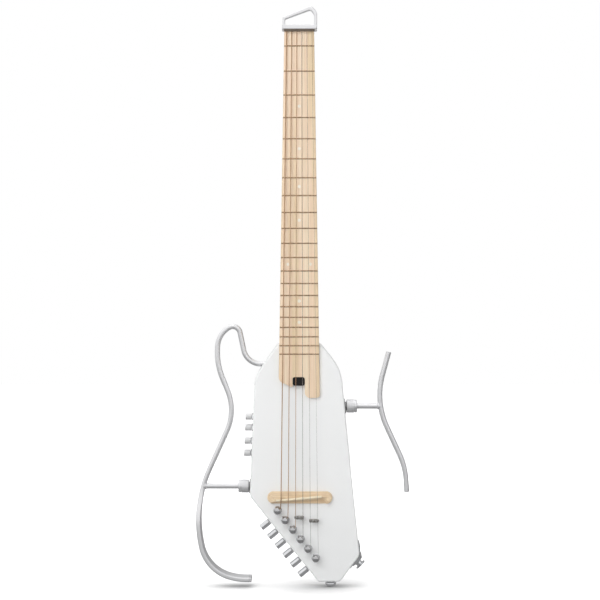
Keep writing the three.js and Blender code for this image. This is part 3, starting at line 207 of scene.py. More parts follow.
def boxCorners(left, right, bottom, top):
    # A rectangle's corners in order, as an outline for a slab
    return [(left, bottom), (right, bottom), (right, top), (left, top)]


def evenAngles(sides):
    # One whole turn in even steps
    return np.arange(sides) * 2 * np.pi / sides


def turned(radius, angle, height):
    # Places at a radius and an angle round the third axis, and at a height along it
    radius, angle, height = np.broadcast_arrays(radius, angle, height)
    return np.stack([radius * np.cos(angle), radius * np.sin(angle), height], -1)


def latheShell(profile, sides=48, soften=0.0, steps=3, loop=False):
    # Radius and height of each profile point, carried round the third axis
    line = roundedLine(profile, soften, 0, steps, loop) if soften else np.asarray(profile, float)
    return gridShell(turned(line[:, :1], evenAngles(sides), line[:, 1:]), loop)


def aimed(shell, place, direction):
    # Turns the third axis to the direction, then moves the shell to its place
    third = unit(direction)
    first = unit(np.cross([0.0, 1, 0] if abs(third[1]) < 0.9 else [0.0, 0, 1], third))
    turn = np.stack([first, np.cross(third, first), third])
    return shell[0] @ turn + np.asarray(place, float), shell[1]


def rodShell(radius, start, end, sides=32, soften=0.0):
    # A plain cylinder from one place to another
    length = np.linalg.norm(np.subtract(end, start))
    profile = [(0, 0), (radius, 0), (radius, length), (0, length)]
    return aimed(latheShell(profile, sides, soften), start, np.subtract(end, start))


def tubeShell(profile, sides, soften, steps=3):
    # A lathed wall whose profile is a closed loop, so that a hole is left round its axis
    return latheShell(profile, sides, soften, steps, True)


def superellipse(sides, power, across, deep):
    # Cosine and sine raised to two over the power, times the half widths; columns of sides for each row
    angle = (np.arange(sides) + 0.5) * 2 * np.pi / sides
    root = 2 / np.asarray(power, float)
    u = np.sign(np.cos(angle)) * np.abs(np.cos(angle)) ** root * across
    v = np.sign(np.sin(angle)) * np.abs(np.sin(angle)) ** root * deep
    return u[..., None], v[..., None]


def sweepShell(path, across, deep, power=2.0, sides=32):
    # A superellipse square to the path: one half width in the plane of X and Z, the other along Y
    ahead = np.gradient(path, axis=0)
    ahead /= np.linalg.norm(ahead, axis=1)[:, None]
    depth = np.array([0.0, 1, 0]) - ahead * ahead[:, 1:2]
    depth /= np.linalg.norm(depth, axis=1)[:, None]
    side = np.cross(ahead, depth)
    rows = [np.broadcast_to(value, len(path))[:, None] for value in (power, across, deep)]
    u, v = superellipse(sides, *rows)
    return gridShell(path[:, None] + u * side[:, None] + v * depth[:, None])


# A screw's head: rings, spokes and cross in shares of its radius, heights in shares of its dome
cross = {"slot": 0.34, "reach": 0.62, "depth": 0.75, "spokes": (0.92, 1.12), "domeSpread": 0.82, "skirt": -0.4,
         "armFrom": 0.75, "armSine": 0.7, "rings": [0.02, 0.2, 0.357, 0.425, 0.5, 0.62, 0.69, 0.85, 0.97, 1, 1, 0.9]}


def crossScrew(radius, dome, place, direction):
    # A low domed head with a cross cut into it: rings whose spokes follow the four arms' edges
    share, slot = np.array(cross["rings"]), cross["slot"]
    inArm = np.arcsin(np.clip(slot / 2 / np.maximum(share, slot * cross["armFrom"]), 0, cross["armSine"]))
    inArm = np.where(share < slot, np.pi / 8, inArm)
    near, far = (inArm * spoke for spoke in cross["spokes"])
    parts = [0 * inArm, near, far, 0 * inArm + np.pi / 4, np.pi / 2 - far, np.pi / 2 - near]
    angle = np.concatenate([np.stack(parts, 1) + q * np.pi / 2 for q in range(4)], 1)
    height = dome * np.sqrt(np.clip(1 - (share * cross["domeSpread"]) ** 2, 0, 1))
    height[-2:] = cross["skirt"] * dome
    arm = np.array([1, 1, 0, 0, 0, 1.0])
    cut = np.where(share[:, None] < slot, 1.0, np.tile(arm, 4)) * (share[:, None] <= cross["reach"])
    grid = turned(radius * share[:, None], angle, height[:, None] - cut * dome * cross["depth"])
    return aimed(gridShell(grid), place, direction)


def meshOf(name, shells):
    # One mesh of all the shells, in metres in the frame, with doubled points merged
    points = np.concatenate([shell[0] for shell in shells])
    starts = np.cumsum([0] + [len(shell[0]) for shell in shells])
    faces = [[v + int(start) for v in face] for start, shell in zip(starts, shells) for face in shell[1]]
    mesh = bpy.data.meshes.new(name)
    mesh.from_pydata((zeroFret + points * mm).tolist(), [], faces)
    tidy = bmesh.new()
    tidy.from_mesh(mesh)
    bmesh.ops.remove_doubles(tidy, verts=tidy.verts, dist=mergeSize)
    tidy.to_mesh(mesh)
    tidy.free()
    return mesh


def carve(piece, tools, operation):
    # Boolean modifiers, one for each tool, applied together
    helpers = []
    for shells in tools:
        helper = bpy.data.objects.new("tool", meshOf("tool", shells))
        bpy.context.scene.collection.objects.link(helper)
        modifier = piece.modifiers.new("carve", "BOOLEAN")
        modifier.operation = operation
        modifier.solver = "EXACT"
        modifier.object = helper
        helpers.append(helper)
    bpy.context.view_layer.update()
    made = bpy.data.meshes.new_from_object(piece.evaluated_get(bpy.context.evaluated_depsgraph_get()))
    piece.modifiers.clear()
    piece.data = made
    for helper in helpers:
        bpy.data.objects.remove(helper)


def addPiece(name, shells, material, body="root", replaces=(), cuts=(), within=(), joins=(), sharp=40):
    # A visible piece: shells joined, trimmed and cut, with its finish, the body it rides and the nodes it stands for
    piece = bpy.data.objects.new(name, meshOf(name, shells))
    bpy.context.scene.collection.objects.link(piece)
    for tools, operation in ((joins, "UNION"), (within, "INTERSECT"), (cuts, "DIFFERENCE")):
        if tools:
            carve(piece, tools, operation)
    mesh = piece.data
    mesh.materials.clear()
    mesh.materials.append(material)
    mesh.polygons.foreach_set("material_index", np.zeros(len(mesh.polygons), np.int32))
    mesh.shade_smooth()
    mesh.set_sharp_from_angle(angle=math.radians(sharp))
    flat = piece.modifiers.new("flat faces stay flat", "WEIGHTED_NORMAL")
    flat.keep_sharp = True
    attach(piece, body)
    if replaces:
        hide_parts(*replaces)


# Materials
even = (1, 1, 1)  # noise that isn't drawn out along any axis


def paint(red, green, blue):
    # Screen values from 0 to 255 as linear light
    share = np.array([red, green, blue]) / 255
    return (*np.where(share <= 0.04045, share / 12.92, ((share + 0.055) / 1.055) ** 2.4).tolist(), 1.0)


def newMaterial(name, settings):
    # A plain shader; what is the same all over the surface is set on its own sockets
    material = bpy.data.materials.new(name)
    material.use_nodes = True
    tree = material.node_tree
    shader = tree.nodes["Principled BSDF"]
    for socket, value in settings.items():
        shader.inputs[socket].default_value = value
    return material, tree, shader


def feed(tree, socket, value):
    # A socket takes either a link or a constant
    if isinstance(value, bpy.types.NodeSocket):
        tree.links.new(value, socket)
    else:
        socket.default_value = value


def addNode(tree, kind, feeds=None, **settings):
    # A node with its sockets fed; gives its first output
    node = tree.nodes.new("ShaderNode" + kind)
    for key, value in settings.items():
        setattr(node, key, value)
    for socket, value in (feeds or {}).items():
        feed(tree, node.inputs[socket], value)
    return node.outputs[0]


def ownPlace(tree):
    # The piece's own coordinates, in metres
    return tree.nodes.new("ShaderNodeTexCoord").outputs["Object"]


def stretchedNoise(tree, stretch, scale, detail=4.0, roughness=0.5, distortion=0.0):
    # Noise over the piece's own coordinates, drawn out along the axes with a small stretch
    place = addNode(tree, "Mapping", {"Vector": ownPlace(tree), "Scale": stretch})
    feeds = {"Vector": place, "Scale": scale, "Detail": detail, "Roughness": roughness, "Distortion": distortion}
    return addNode(tree, "TexNoise", feeds)


def ramp(tree, factor, stops):
    # Colours at their positions along the factor, blended between
    node = tree.nodes.new("ShaderNodeValToRGB")
    tree.links.new(factor, node.inputs["Fac"])
    elements = node.color_ramp.elements
    while len(elements) < len(stops):
        elements.new(0.5)
    for element, (position, colour) in zip(elements, stops):
        element.position = position
        element.color = colour
    return node.outputs["Color"]


def twoTones(tree, factor, look):
    # Two close tones of one colour over the middle of the factor
    return ramp(tree, factor, [(0.3, look["shade"]), (0.7, look["light"])])


def spread(tree, factor, low, high, start=0.3, end=0.7):
    # Carries the factor's part from start to end onto the range from low to high
    feeds = {"Value": factor, "From Min": start, "From Max": end, "To Min": low, "To Max": high}
    return addNode(tree, "MapRange", feeds)


def mixed(tree, factor, first, second, kind="MIX"):
    # The first colour blended towards the second by the factor
    node = tree.nodes.new("ShaderNodeMix")
    node.data_type = "RGBA"
    node.blend_type = kind
    for socket, value in ((0, factor), (6, first), (7, second)):  # these sockets share their names with others
        feed(tree, node.inputs[socket], value)
    return node.outputs[2]


def surface(tree, shader, look, colour, gloss, relief):
    # The material's colour, its roughness spread over one noise, and its relief from another
    tree.links.new(colour, shader.inputs["Base Color"])
    tree.links.new(spread(tree, gloss, *look["roughness"]), shader.inputs["Roughness"])
    bump = addNode(tree, "Bump", {"Height": relief, "Strength": look["bump"], "Distance": look["bumpDepth"]})
    tree.links.new(bump, shader.inputs["Normal"])


def paintedWhite(name, look):
    # Sprayed lacquer: a faint drift of tone, a gloss that wanders, and orange peel
    material, tree, shader = newMaterial(name, {"Coat Weight": look["coat"], "Coat Roughness": look["coatRoughness"]})
    drift = stretchedNoise(tree, even, look["driftScale"], detail=3)
    peel = stretchedNoise(tree, even, look["peelScale"], detail=2)
    surface(tree, shader, look, twoTones(tree, drift, look), drift, peel)
    return material


def grainedWood(name, look):
    # Broad growth bands and fine fibres along the grain, with short dark pores, under a thin satin finish
    material, tree, shader = newMaterial(name, {"Coat Weight": look["coat"], "Coat Roughness": 0.3})
    twist = look["bandTwist"]
    bands = stretchedNoise(tree, look["grain"], look["bandScale"], detail=5, roughness=0.55, distortion=twist)
    fibres = stretchedNoise(tree, look["grain"], look["fibreScale"], detail=6, roughness=0.6)
    pores = stretchedNoise(tree, look["poreGrain"], look["poreScale"], detail=2)
    broad = ramp(tree, bands, look["bands"])
    fine = mixed(tree, look["fibreShare"], broad, ramp(tree, fibres, look["fibres"]), "MULTIPLY")
    dashes = spread(tree, pores, 0, look["poreShare"], start=0.62, end=0.72)
    surface(tree, shader, look, mixed(tree, dashes, fine, look["poreColour"]), fibres, fibres)
    return material


def bareMetal(name, look):
    # Metal whose tone, gloss and fine relief follow the way it was brushed, blasted or polished
    material, tree, shader = newMaterial(name, {"Metallic": 1.0})
    broad = stretchedNoise(tree, even, look["patchScale"])
    fine = stretchedNoise(tree, look["brush"], look["fineScale"], detail=3, roughness=0.6)
    both = mixed(tree, look["fineShare"], broad, fine)
    surface(tree, shader, look, twoTones(tree, both, look), both, fine)
    return material


def mouldedPlastic(name, look):
    # Spark-eroded grain with a slight sheen
    settings = {"Coat Weight": look["coat"], "Coat Roughness": 0.25, "Specular IOR Level": look["shine"]}
    material, tree, shader = newMaterial(name, settings)
    grain = stretchedNoise(tree, even, look["grainScale"], detail=3)
    drift = stretchedNoise(tree, even, look["driftScale"], detail=3)
    surface(tree, shader, look, twoTones(tree, drift, look), grain, grain)
    return material


def woundWire(name, look):
    # Wrap wire on the string's core: ridges square to the string, each as long as pi / 10 over the scale
    material, tree, shader = newMaterial(name, {"Metallic": 1.0})
    scale = look["turnsPerMetre"] * math.pi / 10
    wave = addNode(tree, "TexWave", {"Vector": ownPlace(tree), "Scale": scale}, bands_direction="Z")
    drift = stretchedNoise(tree, even, look["driftScale"], detail=3)
    tone = twoTones(tree, drift, look)
    # The hollows between the wraps take a darker tone: painted shade
    shadedGrooves = mixed(tree, 1.0, tone, look["groove"], "MULTIPLY")
    surface(tree, shader, look, mixed(tree, wave, shadedGrooves, tone), drift, wave)
    return material


def circuitSheet(name, look):
    # Green mask with paler copper runs in a square pattern
    material, tree, shader = newMaterial(name, {"Coat Weight": 0.4})
    place = addNode(tree, "Mapping", {"Vector": ownPlace(tree), "Rotation": (0, math.pi / 2, 0)})
    feeds = {"Vector": place, "Scale": look["scale"], "Color1": look["mask"], "Color2": look["maskShade"]}
    feeds.update({"Mortar": look["copper"], "Mortar Size": look["runWidth"]})
    tree.links.new(addNode(tree, "TexBrick", feeds), shader.inputs["Base Color"])
    gloss = stretchedNoise(tree, even, look["glossScale"], detail=2)
    tree.links.new(spread(tree, gloss, *look["roughness"]), shader.inputs["Roughness"])
    return material


whitePaint = paintedWhite("white_paint", {
    "light": paint(247, 248, 248), "shade": paint(242, 243, 243), "driftScale": 5, "roughness": (0.3, 0.38),
    "coat": 0.25, "coatRoughness": 0.12, "peelScale": 700, "bump": 0.12, "bumpDepth": 0.0002,
})
mapleNeck = grainedWood("maple", {
    "grain": (1, 1, 0.025), "bandScale": 70, "bandTwist": 0.6, "fibreScale": 420, "poreGrain": (1, 1, 0.05),
    "poreScale": 900,
    "bands": [(0.3, paint(228, 200, 160)), (0.5, paint(240, 215, 178)), (0.7, paint(246, 225, 191))],
    "fibres": [(0.3, paint(232, 224, 214)), (0.7, paint(255, 255, 255))], "fibreShare": 0.8,
    "poreColour": paint(190, 152, 108), "poreShare": 0.35, "roughness": (0.3, 0.42), "coat": 0.3, "bump": 0.15,
    "bumpDepth": 0.0001,
})
mapleBoard = grainedWood("maple_board", {
    "grain": (1, 1, 0.02), "bandScale": 85, "bandTwist": 0.4, "fibreScale": 520, "poreGrain": (1, 1, 0.04),
    "poreScale": 1100,
    "bands": [(0.3, paint(230, 202, 164)), (0.42, paint(240, 220, 186)), (0.55, paint(247, 222, 196)),
              (0.7, paint(250, 233, 206))],
    "fibres": [(0.3, paint(236, 226, 214)), (0.7, paint(255, 255, 255))], "fibreShare": 0.85,
    "poreColour": paint(204, 170, 130), "poreShare": 0.3, "roughness": (0.28, 0.38), "coat": 0.5, "bump": 0.15,
    "bumpDepth": 0.0001,
})
bridgeWood = grainedWood("bridge_wood", {
    "grain": (0.03, 1, 1), "bandScale": 160, "bandTwist": 0.5, "fibreScale": 620, "poreGrain": (0.06, 1, 1),
    "poreScale": 1200,
    "bands": [(0.3, paint(234, 206, 170)), (0.5, paint(245, 222, 188)), (0.7, paint(251, 233, 203))],
    "fibres": [(0.3, paint(222, 210, 196)), (0.7, paint(255, 255, 255))], "fibreShare": 0.9,
    "poreColour": paint(150, 104, 66), "poreShare": 0.5, "roughness": (0.36, 0.5), "coat": 0.15, "bump": 0.25,
    "bumpDepth": 0.00012,
})
saddleBone = mouldedPlastic("bone", {
    "light": paint(253, 242, 216), "shade": paint(247, 231, 200), "driftScale": 180, "grainScale": 1500,
    "roughness": (0.3, 0.42), "coat": 0.2, "shine": 0.5, "bump": 0.1, "bumpDepth": 0.0001,
})
satinSilver = bareMetal("satin_silver", {
    "light": paint(238, 238, 239), "shade": paint(231, 231, 233), "patchScale": 30, "brush": (1, 1, 1),
    "fineScale": 1800, "fineShare": 0.5, "roughness": (0.4, 0.48), "bump": 0.15, "bumpDepth": 0.0001,
})
# A paler copy of the satin silver for the control knobs: partly their own pale silver, partly painted light for their
# bright sheen
paleLitSilver = bareMetal("pale_lit_silver", {
    "light": paint(243, 243, 243), "shade": paint(236, 236, 237), "patchScale": 90, "brush": (1, 1, 1),
    "fineScale": 1800, "fineShare": 0.5, "roughness": (0.48, 0.56), "bump": 0.12, "bumpDepth": 0.0001,
})
chrome = bareMetal("chrome", {
    "light": paint(228, 229, 231), "shade": paint(218, 219, 221), "patchScale": 160, "brush": (1, 1, 1),
    "fineScale": 1500, "fineShare": 0.3, "roughness": (0.06, 0.13), "bump": 0.02, "bumpDepth": 0.00005,
})
# A darker copy of the chrome for the tuner posts: its lower tone is painted shade, for the caps' darker reflections
shadedPostChrome = bareMetal("post_chrome_painted_shade", {
    "light": paint(194, 194, 195), "shade": paint(184, 184, 185), "patchScale": 160, "brush": (1, 1, 1),
    "fineScale": 1500, "fineShare": 0.3, "roughness": (0.06, 0.13), "bump": 0.02, "bumpDepth": 0.00005,
})
steel = bareMetal("steel", {
    "light": paint(178, 178, 178), "shade": paint(150, 150, 151), "patchScale": 120, "brush": (1, 0.1, 1),
    "fineScale": 2400, "fineShare": 0.6, "roughness": (0.24, 0.4), "bump": 0.1, "bumpDepth": 0.00006,
})
darkMetal = bareMetal("dark_metal", {
    "light": paint(182, 180, 176), "shade": paint(154, 152, 149), "patchScale": 300, "brush": (1, 1, 1),
    "fineScale": 1600, "fineShare": 0.5, "roughness": (0.2, 0.34), "bump": 0.08, "bumpDepth": 0.00006,
})
# Nickel silver made browner and darker than its own colour: the difference is painted shade, so each fret reads as a
# dark line
fretMetal = bareMetal("fret_metal", {
    "light": paint(196, 172, 144), "shade": paint(170, 148, 122), "patchScale": 300, "brush": (0.1, 1, 1),
    "fineScale": 2600, "fineShare": 0.6, "roughness": (0.2, 0.32), "bump": 0.06, "bumpDepth": 0.00005,
})
brass = bareMetal("brass", {
    "light": paint(206, 172, 106), "shade": paint(168, 134, 78), "patchScale": 260, "brush": (1, 1, 1),
    "fineScale": 1800, "fineShare": 0.4, "roughness": (0.22, 0.38), "bump": 0.1, "bumpDepth": 0.00008,
})
bronzeWire = woundWire("bronze_string", {
    # groove is painted shade, the tone in the hollows between the wraps
    "light": paint(230, 194, 162), "shade": paint(208, 174, 144), "groove": paint(176, 156, 136),
    "turnsPerMetre": 1600, "driftScale": 90, "roughness": (0.3, 0.42), "bump": 0.5, "bumpDepth": 0.00008,
})
plainWire = bareMetal("steel_string", {
    "light": paint(158, 154, 150), "shade": paint(134, 130, 126), "patchScale": 90, "brush": (1, 1, 0.05),
    "fineScale": 2600, "fineShare": 0.4, "roughness": (0.2, 0.3), "bump": 0.05, "bumpDepth": 0.00003,
})
blackPlastic = mouldedPlastic("black_plastic", {
    "light": paint(30, 28, 27), "shade": paint(20, 19, 19), "driftScale": 40, "grainScale": 1600,
    "roughness": (0.36, 0.5), "coat": 0.0, "shine": 0.2, "bump": 0.15, "bumpDepth": 0.0001,
})
# A dark brown for the guide under the head's bar: painted shade for the shadow there
shadeBrownPlastic = mouldedPlastic("shade_brown_plastic", {
    "light": paint(112, 101, 90), "shade": paint(90, 80, 71), "driftScale": 60, "grainScale": 1600,
    "roughness": (0.4, 0.5), "coat": 0.0, "shine": 0.25, "bump": 0.15, "bumpDepth": 0.0001,
})
pearl = mouldedPlastic("pearl", {
    "light": paint(254, 247, 233), "shade": paint(244, 233, 216), "driftScale": 420, "grainScale": 900,
    "roughness": (0.15, 0.28), "coat": 0.6, "shine": 0.5, "bump": 0.05, "bumpDepth": 0.00005,
})
circuitBoard = circuitSheet("circuit", {
    "mask": paint(40, 98, 58), "maskShade": paint(34, 84, 50), "copper": paint(96, 140, 84), "runWidth": 0.02,
    "scale": 260, "glossScale": 900, "roughness": (0.35, 0.5),
})
cellCase = mouldedPlastic("cell_case", {
    "light": paint(52, 54, 60), "shade": paint(38, 40, 46), "driftScale": 60, "grainScale": 1200,
    "roughness": (0.3, 0.45), "coat": 0.3, "shine": 0.5, "bump": 0.1, "bumpDepth": 0.0001,
})
print("materials made")


# Body slab with its pocket, well, cavity and bores
slab = {
    "corners": [(-31.5, -430.5), (-64.6, -477.5), (-71.6, -652), (27.9, -775.4),
                (59.3, -775.4), (87.6, -736.8), (60.6, -467.4), (31.5, -430.5)],
    "rounds": [6, 56, 13, 4, 6, 14, 67, 6],
    "edge": 3,
    "heelLength": 47.5,
    "heelDepth": 21,
    "overrun": 5,  # every cutting shape runs on so far past the skin
}
tunerRow = {
    "count": 6, "pitch": 17.68, "first": 40.4, "inset": 19, "shelf": 16, "bore": 5,
    "wellStart": 15, "wellEnd": 17, "wellHalf": 13.5, "wellRound": 5, "floorRound": 1.2, "lip": 0.8,
    "axleX": 7.0, "axleDepth": 24, "axleBore": 2.35, "axleFrom": -24, "axleTo": -8.5,
}
cavity = {
    "wall": 7.2, "right": 16, "top": -527, "bottom": -624, "front": 12, "round": 4,
    "ledge": 4, "lidThickness": 2.2, "lidRound": 6, "rimDown": 0.5, "rimOut": 0.4,
}
controls = {
    "firstZ": -537.2, "steps": [0, 15.8, 19.5, 17.7], "radius": 4.75, "length": 8.7, "off": 2.5, "shaft": 3,
    "flutes": 20, "fluteDepth": 0.28, "bush": 4.4, "nut": 5.6, "nutHeight": 1.5, "can": 6, "canLength": 7.4,
    "sheet": 1.6, "sheetHalf": 9, "sheetRound": 0.1, "nutBore": 3.6,
    "fluteWave": (1.6, 0.2),  # how steep the dips' sides are, and how far the ridges between them are widened
    "rim": [(0.4, 0.01), (0, 0.35), (0, 1), (0, 1.2)],  # inward and up from the knob's foot
    "face": [(0, 1.6), (0, 1.3), (0.1, 0.35), (0.5, 0), (1.5, 0), (1.9, 0.2)],  # inward and down from its end
    "faceSunk": 0.25, "shaftFrom": -12, "gripEnds": (1, 1.5),
}
strut = {"radius": 4, "left": -638.7, "right": -521.8, "inside": 26}
socket = {"radius": 6.4, "flange": 11, "flangeHeight": 1.2, "flangeOverlap": 0.5, "thread": 11, "threadDepth": 0.5,
          "threadRows": 60, "threadEnds": (0.5, 1),  # plain lengths below and above the thread
          "lead": 0.6, "end": 2, "floorStep": 1.5}
upperPlug = {"x": -36.5, "z": -460.4, "radius": 3.8, "wall": 2.35}
nutRoom = {"half": 4.3, "bottom": -487.6, "depth": 8.7}
bolts = {
    "x": 15.5, "z": (-442.5, -468), "ferrule": 6.4, "floor": 2.5, "head": 4.2, "dome": 1.3, "headSunk": 0.9,
    # A ferrule's radius, and height over the body's back
    "ring": [(4.3, -1.1), (6.3, -2.3), (6.3, -0.4), (7.1, 0.05), (6.9, 0.55), (5.1, 0.55), (4.3, -0.5)],
}
pin = {
    "x": 46, "shank": 2.4, "shankLength": 16, "bore": 2.7, "boreDepth": 16.3,
    # Its radius, and height from the body's foot
    "button": [(6, 0), (5.2, -1), (5.2, -2.6), (7.7, -3.8), (7.9, -5.2), (6.6, -8), (4.6, -9.2), (0, -9.2)],
}
jack = {
    "tiltAngle": -45, "along": 10.5, "hole": 4.9, "holeDepth": 14, "flange": 8.3, "flangeHeight": 2.6, "neck": 4.9,
    "height": 6.6, "bore": 3.3, "boreDepth": 16, "stem": 4.6, "stemLength": 14, "foot": 0.9, "rim": 0.9, "slope": 0.8,
    "mouth": 0.6,
}
gap = guitar["gap"]
loose = 0.35  # between pieces that turn or slide in each other
sideDepth = guitar["sideDepth"]
frontward, backward = (0, -1, 0), (0, 1, 0)
sideCorners = {"left": (1, 2), "right": (6, 5)}  # upper and lower corner of each long side


def sideX(name, z):
    # Where a long side of the body crosses a height
    (x0, z0), (x1, z1) = (slab["corners"][k] for k in sideCorners[name])
    return x0 + (x1 - x0) * (z - z0) / (z1 - z0)


cavityLeft = sideX("left", cavity["top"]) + cavity["wall"]
controlZ = controls["firstZ"] - np.cumsum(controls["steps"])
edgeStart, edgeEnd = standing(np.array(slab["corners"][2:4]), 0)
edgeAlong = unit(edgeEnd - edgeStart)
edgeInward = np.array([-edgeAlong[2], 0, edgeAlong[0]])
hip = np.array(slab["corners"][5])
hipEdge = unit(np.array(slab["corners"][4]) - hip)
jackDirection = (math.cos(math.radians(jack["tiltAngle"])), 0, math.sin(math.radians(jack["tiltAngle"])))


def postPlace(i):
    # Each tuner's post: so many steps along the slanted edge, and in from it
    return edgeStart + edgeAlong * (tunerRow["first"] + i * tunerRow["pitch"]) + edgeInward * tunerRow["inset"]


def atTuner(shell, i):
    # Local X runs along the slanted edge and local Z inward from it
    turn = np.stack([edgeAlong, [0, 1, 0], edgeInward])
    return shell[0] @ turn + postPlace(i), shell[1]


def jackPoint(out):
    # A place on the jack's axis, so far outside the body's skin
    foot = hip + hipEdge * jack["along"]
    return np.array([foot[0], sideDepth, foot[1]]) + np.array(jackDirection) * out


boltSpots = [(x, z) for x in (-bolts["x"], bolts["x"]) for z in bolts["z"]]


def bodyTools():
    # Everything cut out of the slab, each kind as one tool: its walls stand clear of the piece that goes in
    over, thick, row = slab["overrun"], guitar["thickness"], tunerRow
    top = slab["corners"][0][1] + over
    bottom = slab["corners"][0][1] - slab["heelLength"] - gap
    wideTop, wideBottom = halfWidth(top) + gap, halfWidth(bottom) + gap
    heel = [(-wideTop, top), (-wideBottom, bottom), (wideBottom, bottom), (wideTop, top)]
    pocket = slabShell(heel, 0, [(-over, 0), (slab["heelDepth"] + gap, 0)], steps=1)
    nut = boxCorners(-nutRoom["half"], nutRoom["half"], nutRoom["bottom"], bottom + over)
    rodEnd = slabShell(nut, 0, [(-over, 0), (nutRoom["depth"], 0)], steps=1)
    lip, lastPost = row["lip"], (row["count"] - 1) * row["pitch"]
    wellCorners = boxCorners(-row["wellStart"], lastPost + row["wellEnd"], -row["wellHalf"], row["wellHalf"])
    wellLevels = softLevels(row["shelf"], thick - lip, row["floorRound"])
    wellLevels += [(thick - lip / 3, lip / 3), (thick, lip), (thick + over, lip)]
    well = atTuner(slabShell(wellCorners, row["wellRound"], wellLevels), 0)
    bore = rodShell(row["bore"], (0, -over, 0), (0, row["shelf"] + over, 0))
    axle = rodShell(row["axleBore"], *((row["axleX"], row["axleDepth"], z) for z in (row["axleFrom"], row["axleTo"])))
    bores, axles = ([atTuner(shell, i) for i in range(row["count"])] for shell in (bore, axle))
    sides, ledge = (cavityLeft, cavity["right"], cavity["bottom"], cavity["top"]), cavity["ledge"]
    room = slabShell(boxCorners(*sides), cavity["round"], [(cavity["front"], 0), (thick + over, 0)])
    lidSides = [side + ledge * way for side, way in zip(sides, (-1, 1, -1, 1))]
    lidLevels = [(thick - cavity["lidThickness"] - gap, 0), (thick - cavity["rimDown"], 0), (thick, cavity["rimOut"]),
                 (thick + over, cavity["rimOut"])]
    lidRoom = slabShell(boxCorners(*lidSides), cavity["lidRound"], lidLevels)

    def sideBore(radius, start, end, z):
        return rodShell(radius, (start, sideDepth, z), (end, sideDepth, z))

    pots = [sideBore(controls["bush"] + gap, sideX("left", z) - over, cavityLeft + over, z) for z in controlZ]
    deep = strut["inside"] + socket["end"] + gap
    sockets = []
    for name, out in (("left", -1), ("right", 1)):
        z, side = strut[name], sideX(name, strut[name])
        sockets.append([sideBore(socket["radius"] + gap, side + out * over, side - out * deep, z)])
    upper = sideBore(upperPlug["radius"] + upperPlug["wall"] + gap, slab["corners"][1][0],
                     upperPlug["x"] + socket["end"] + 2 * gap, upperPlug["z"])
    foot = guitar["footZ"]
    pinHole = rodShell(pin["bore"], (pin["x"], sideDepth, foot - over), (pin["x"], sideDepth, foot + pin["boreDepth"]))
    jackHole = rodShell(jack["hole"], jackPoint(-jack["holeDepth"]), jackPoint(over))
    ferrules = [rodShell(bolts["ferrule"], (x, thick - bolts["floor"], z), (x, thick + over, z)) for x, z in boltSpots]
    return [[pocket], [rodEnd], [well], bores, axles, [room], [lidRoom], pots, *sockets, [upper], [pinHole], [jackHole],
            ferrules]


bodyLevels = softLevels(0, guitar["thickness"], slab["edge"], slab["edge"], steps=6)
bodyShell = slabShell(slab["corners"], slab["rounds"], bodyLevels, steps=12)
addPiece("bodySlab", [bodyShell], whitePaint, replaces=["body"], cuts=bodyTools(), sharp=30)
print("body made")


# Neck, round at the back and square where it enters the body
neck = {
    "endZ": 22.8, "depthNut": 14.5, "depthHeel": 17, "entry": 0.3, "shoulder": 6.8, "blend": 34,
    "heelRim": 0.6, "power": 2.05, "powerAtHead": 0.5, "powerAtHeel": 7, "powerRise": 1.5,
    "rodHalf": 3.2, "rodDepth": 7.6, "rodStart": -8, "rings": 60, "blendRings": 26, "backSteps": 40,
}


def neckShell():
    # Rings across the neck: a superellipse back whose power rises towards the heel, and the rod's channel in the front
    entry = slab["corners"][0][1] + neck["entry"]
    blendEnd = entry + neck["shoulder"]
    heelZ = slab["corners"][0][1] - slab["heelLength"]
    blendStart = blendEnd + neck["blend"]
    z = np.concatenate([np.linspace(neck["endZ"], blendStart, neck["rings"]),
                        np.linspace(blendStart, blendEnd, neck["blendRings"])[1:],
                        [entry, heelZ + neck["heelRim"], heelZ]])
    rise = smoothStep(-z, -blendStart, -blendEnd)
    slope = np.clip(z / fretZ(12), 0, 1)
    depth = neck["depthNut"] + (neck["depthHeel"] - neck["depthNut"]) * slope
    depth = depth + (slab["heelDepth"] - depth) * rise
    power = neck["power"] + neck["powerAtHead"] * smoothStep(z, 0, neck["endZ"])
    power = power + neck["powerAtHeel"] * rise ** neck["powerRise"]
    half = halfWidth(z)
    angle = np.linspace(0, np.pi, neck["backSteps"] + 1)
    x = half[:, None] * np.sign(np.cos(angle)) * np.abs(np.cos(angle)) ** (2 / power[:, None])
    y = depth[:, None] * np.sin(angle) ** (2 / power[:, None])
    channel = (z < neck["rodStart"]) * neck["rodDepth"]
    side = neck["rodHalf"]
    frontX = np.tile([-side, -side, side, side], (len(z), 1))
    frontY = np.stack([0 * z, channel, channel, 0 * z], 1)
    x, y = np.hstack([x, frontX]), np.hstack([y, frontY])
    return gridShell(np.stack([x, y, np.repeat(z[:, None], x.shape[1], 1)], -1))


addPiece("neckBack", [neckShell()], mapleNeck, replaces=["neck"])

# Fingerboard with rolled edges, cut to its stepped lower end
board = {
    "edgeAcross": 2.4, "edgeDown": 1.4, "rollSteps": 8, "crownSteps": 22, "rows": 50, "lowZ": -512,
    "leftEndZ": -484.5, "shoulder": (-9.4, -493.4), "tongue": (8, -509.4), "rightEndZ": -507.8,
    "endRounds": [9, 1.5, 3, 3, 8, 4, 0, 0], "sideClear": 0.02, "limitFront": -12, "limitBack": 4,
    "headPast": (1, 4),  # so far the trimming shape runs on past the upper end, across and up
}
cover = {
    "width": 17.4, "height": 12.1, "round": 3, "proud": 0.9, "z": -484.8, "x": -0.8, "edge": 1.4,
    "dish": [(0.25, -3.2), (0.2, -2.6), (0.02, -2.2)],  # depth and inward step of the field's rings
}


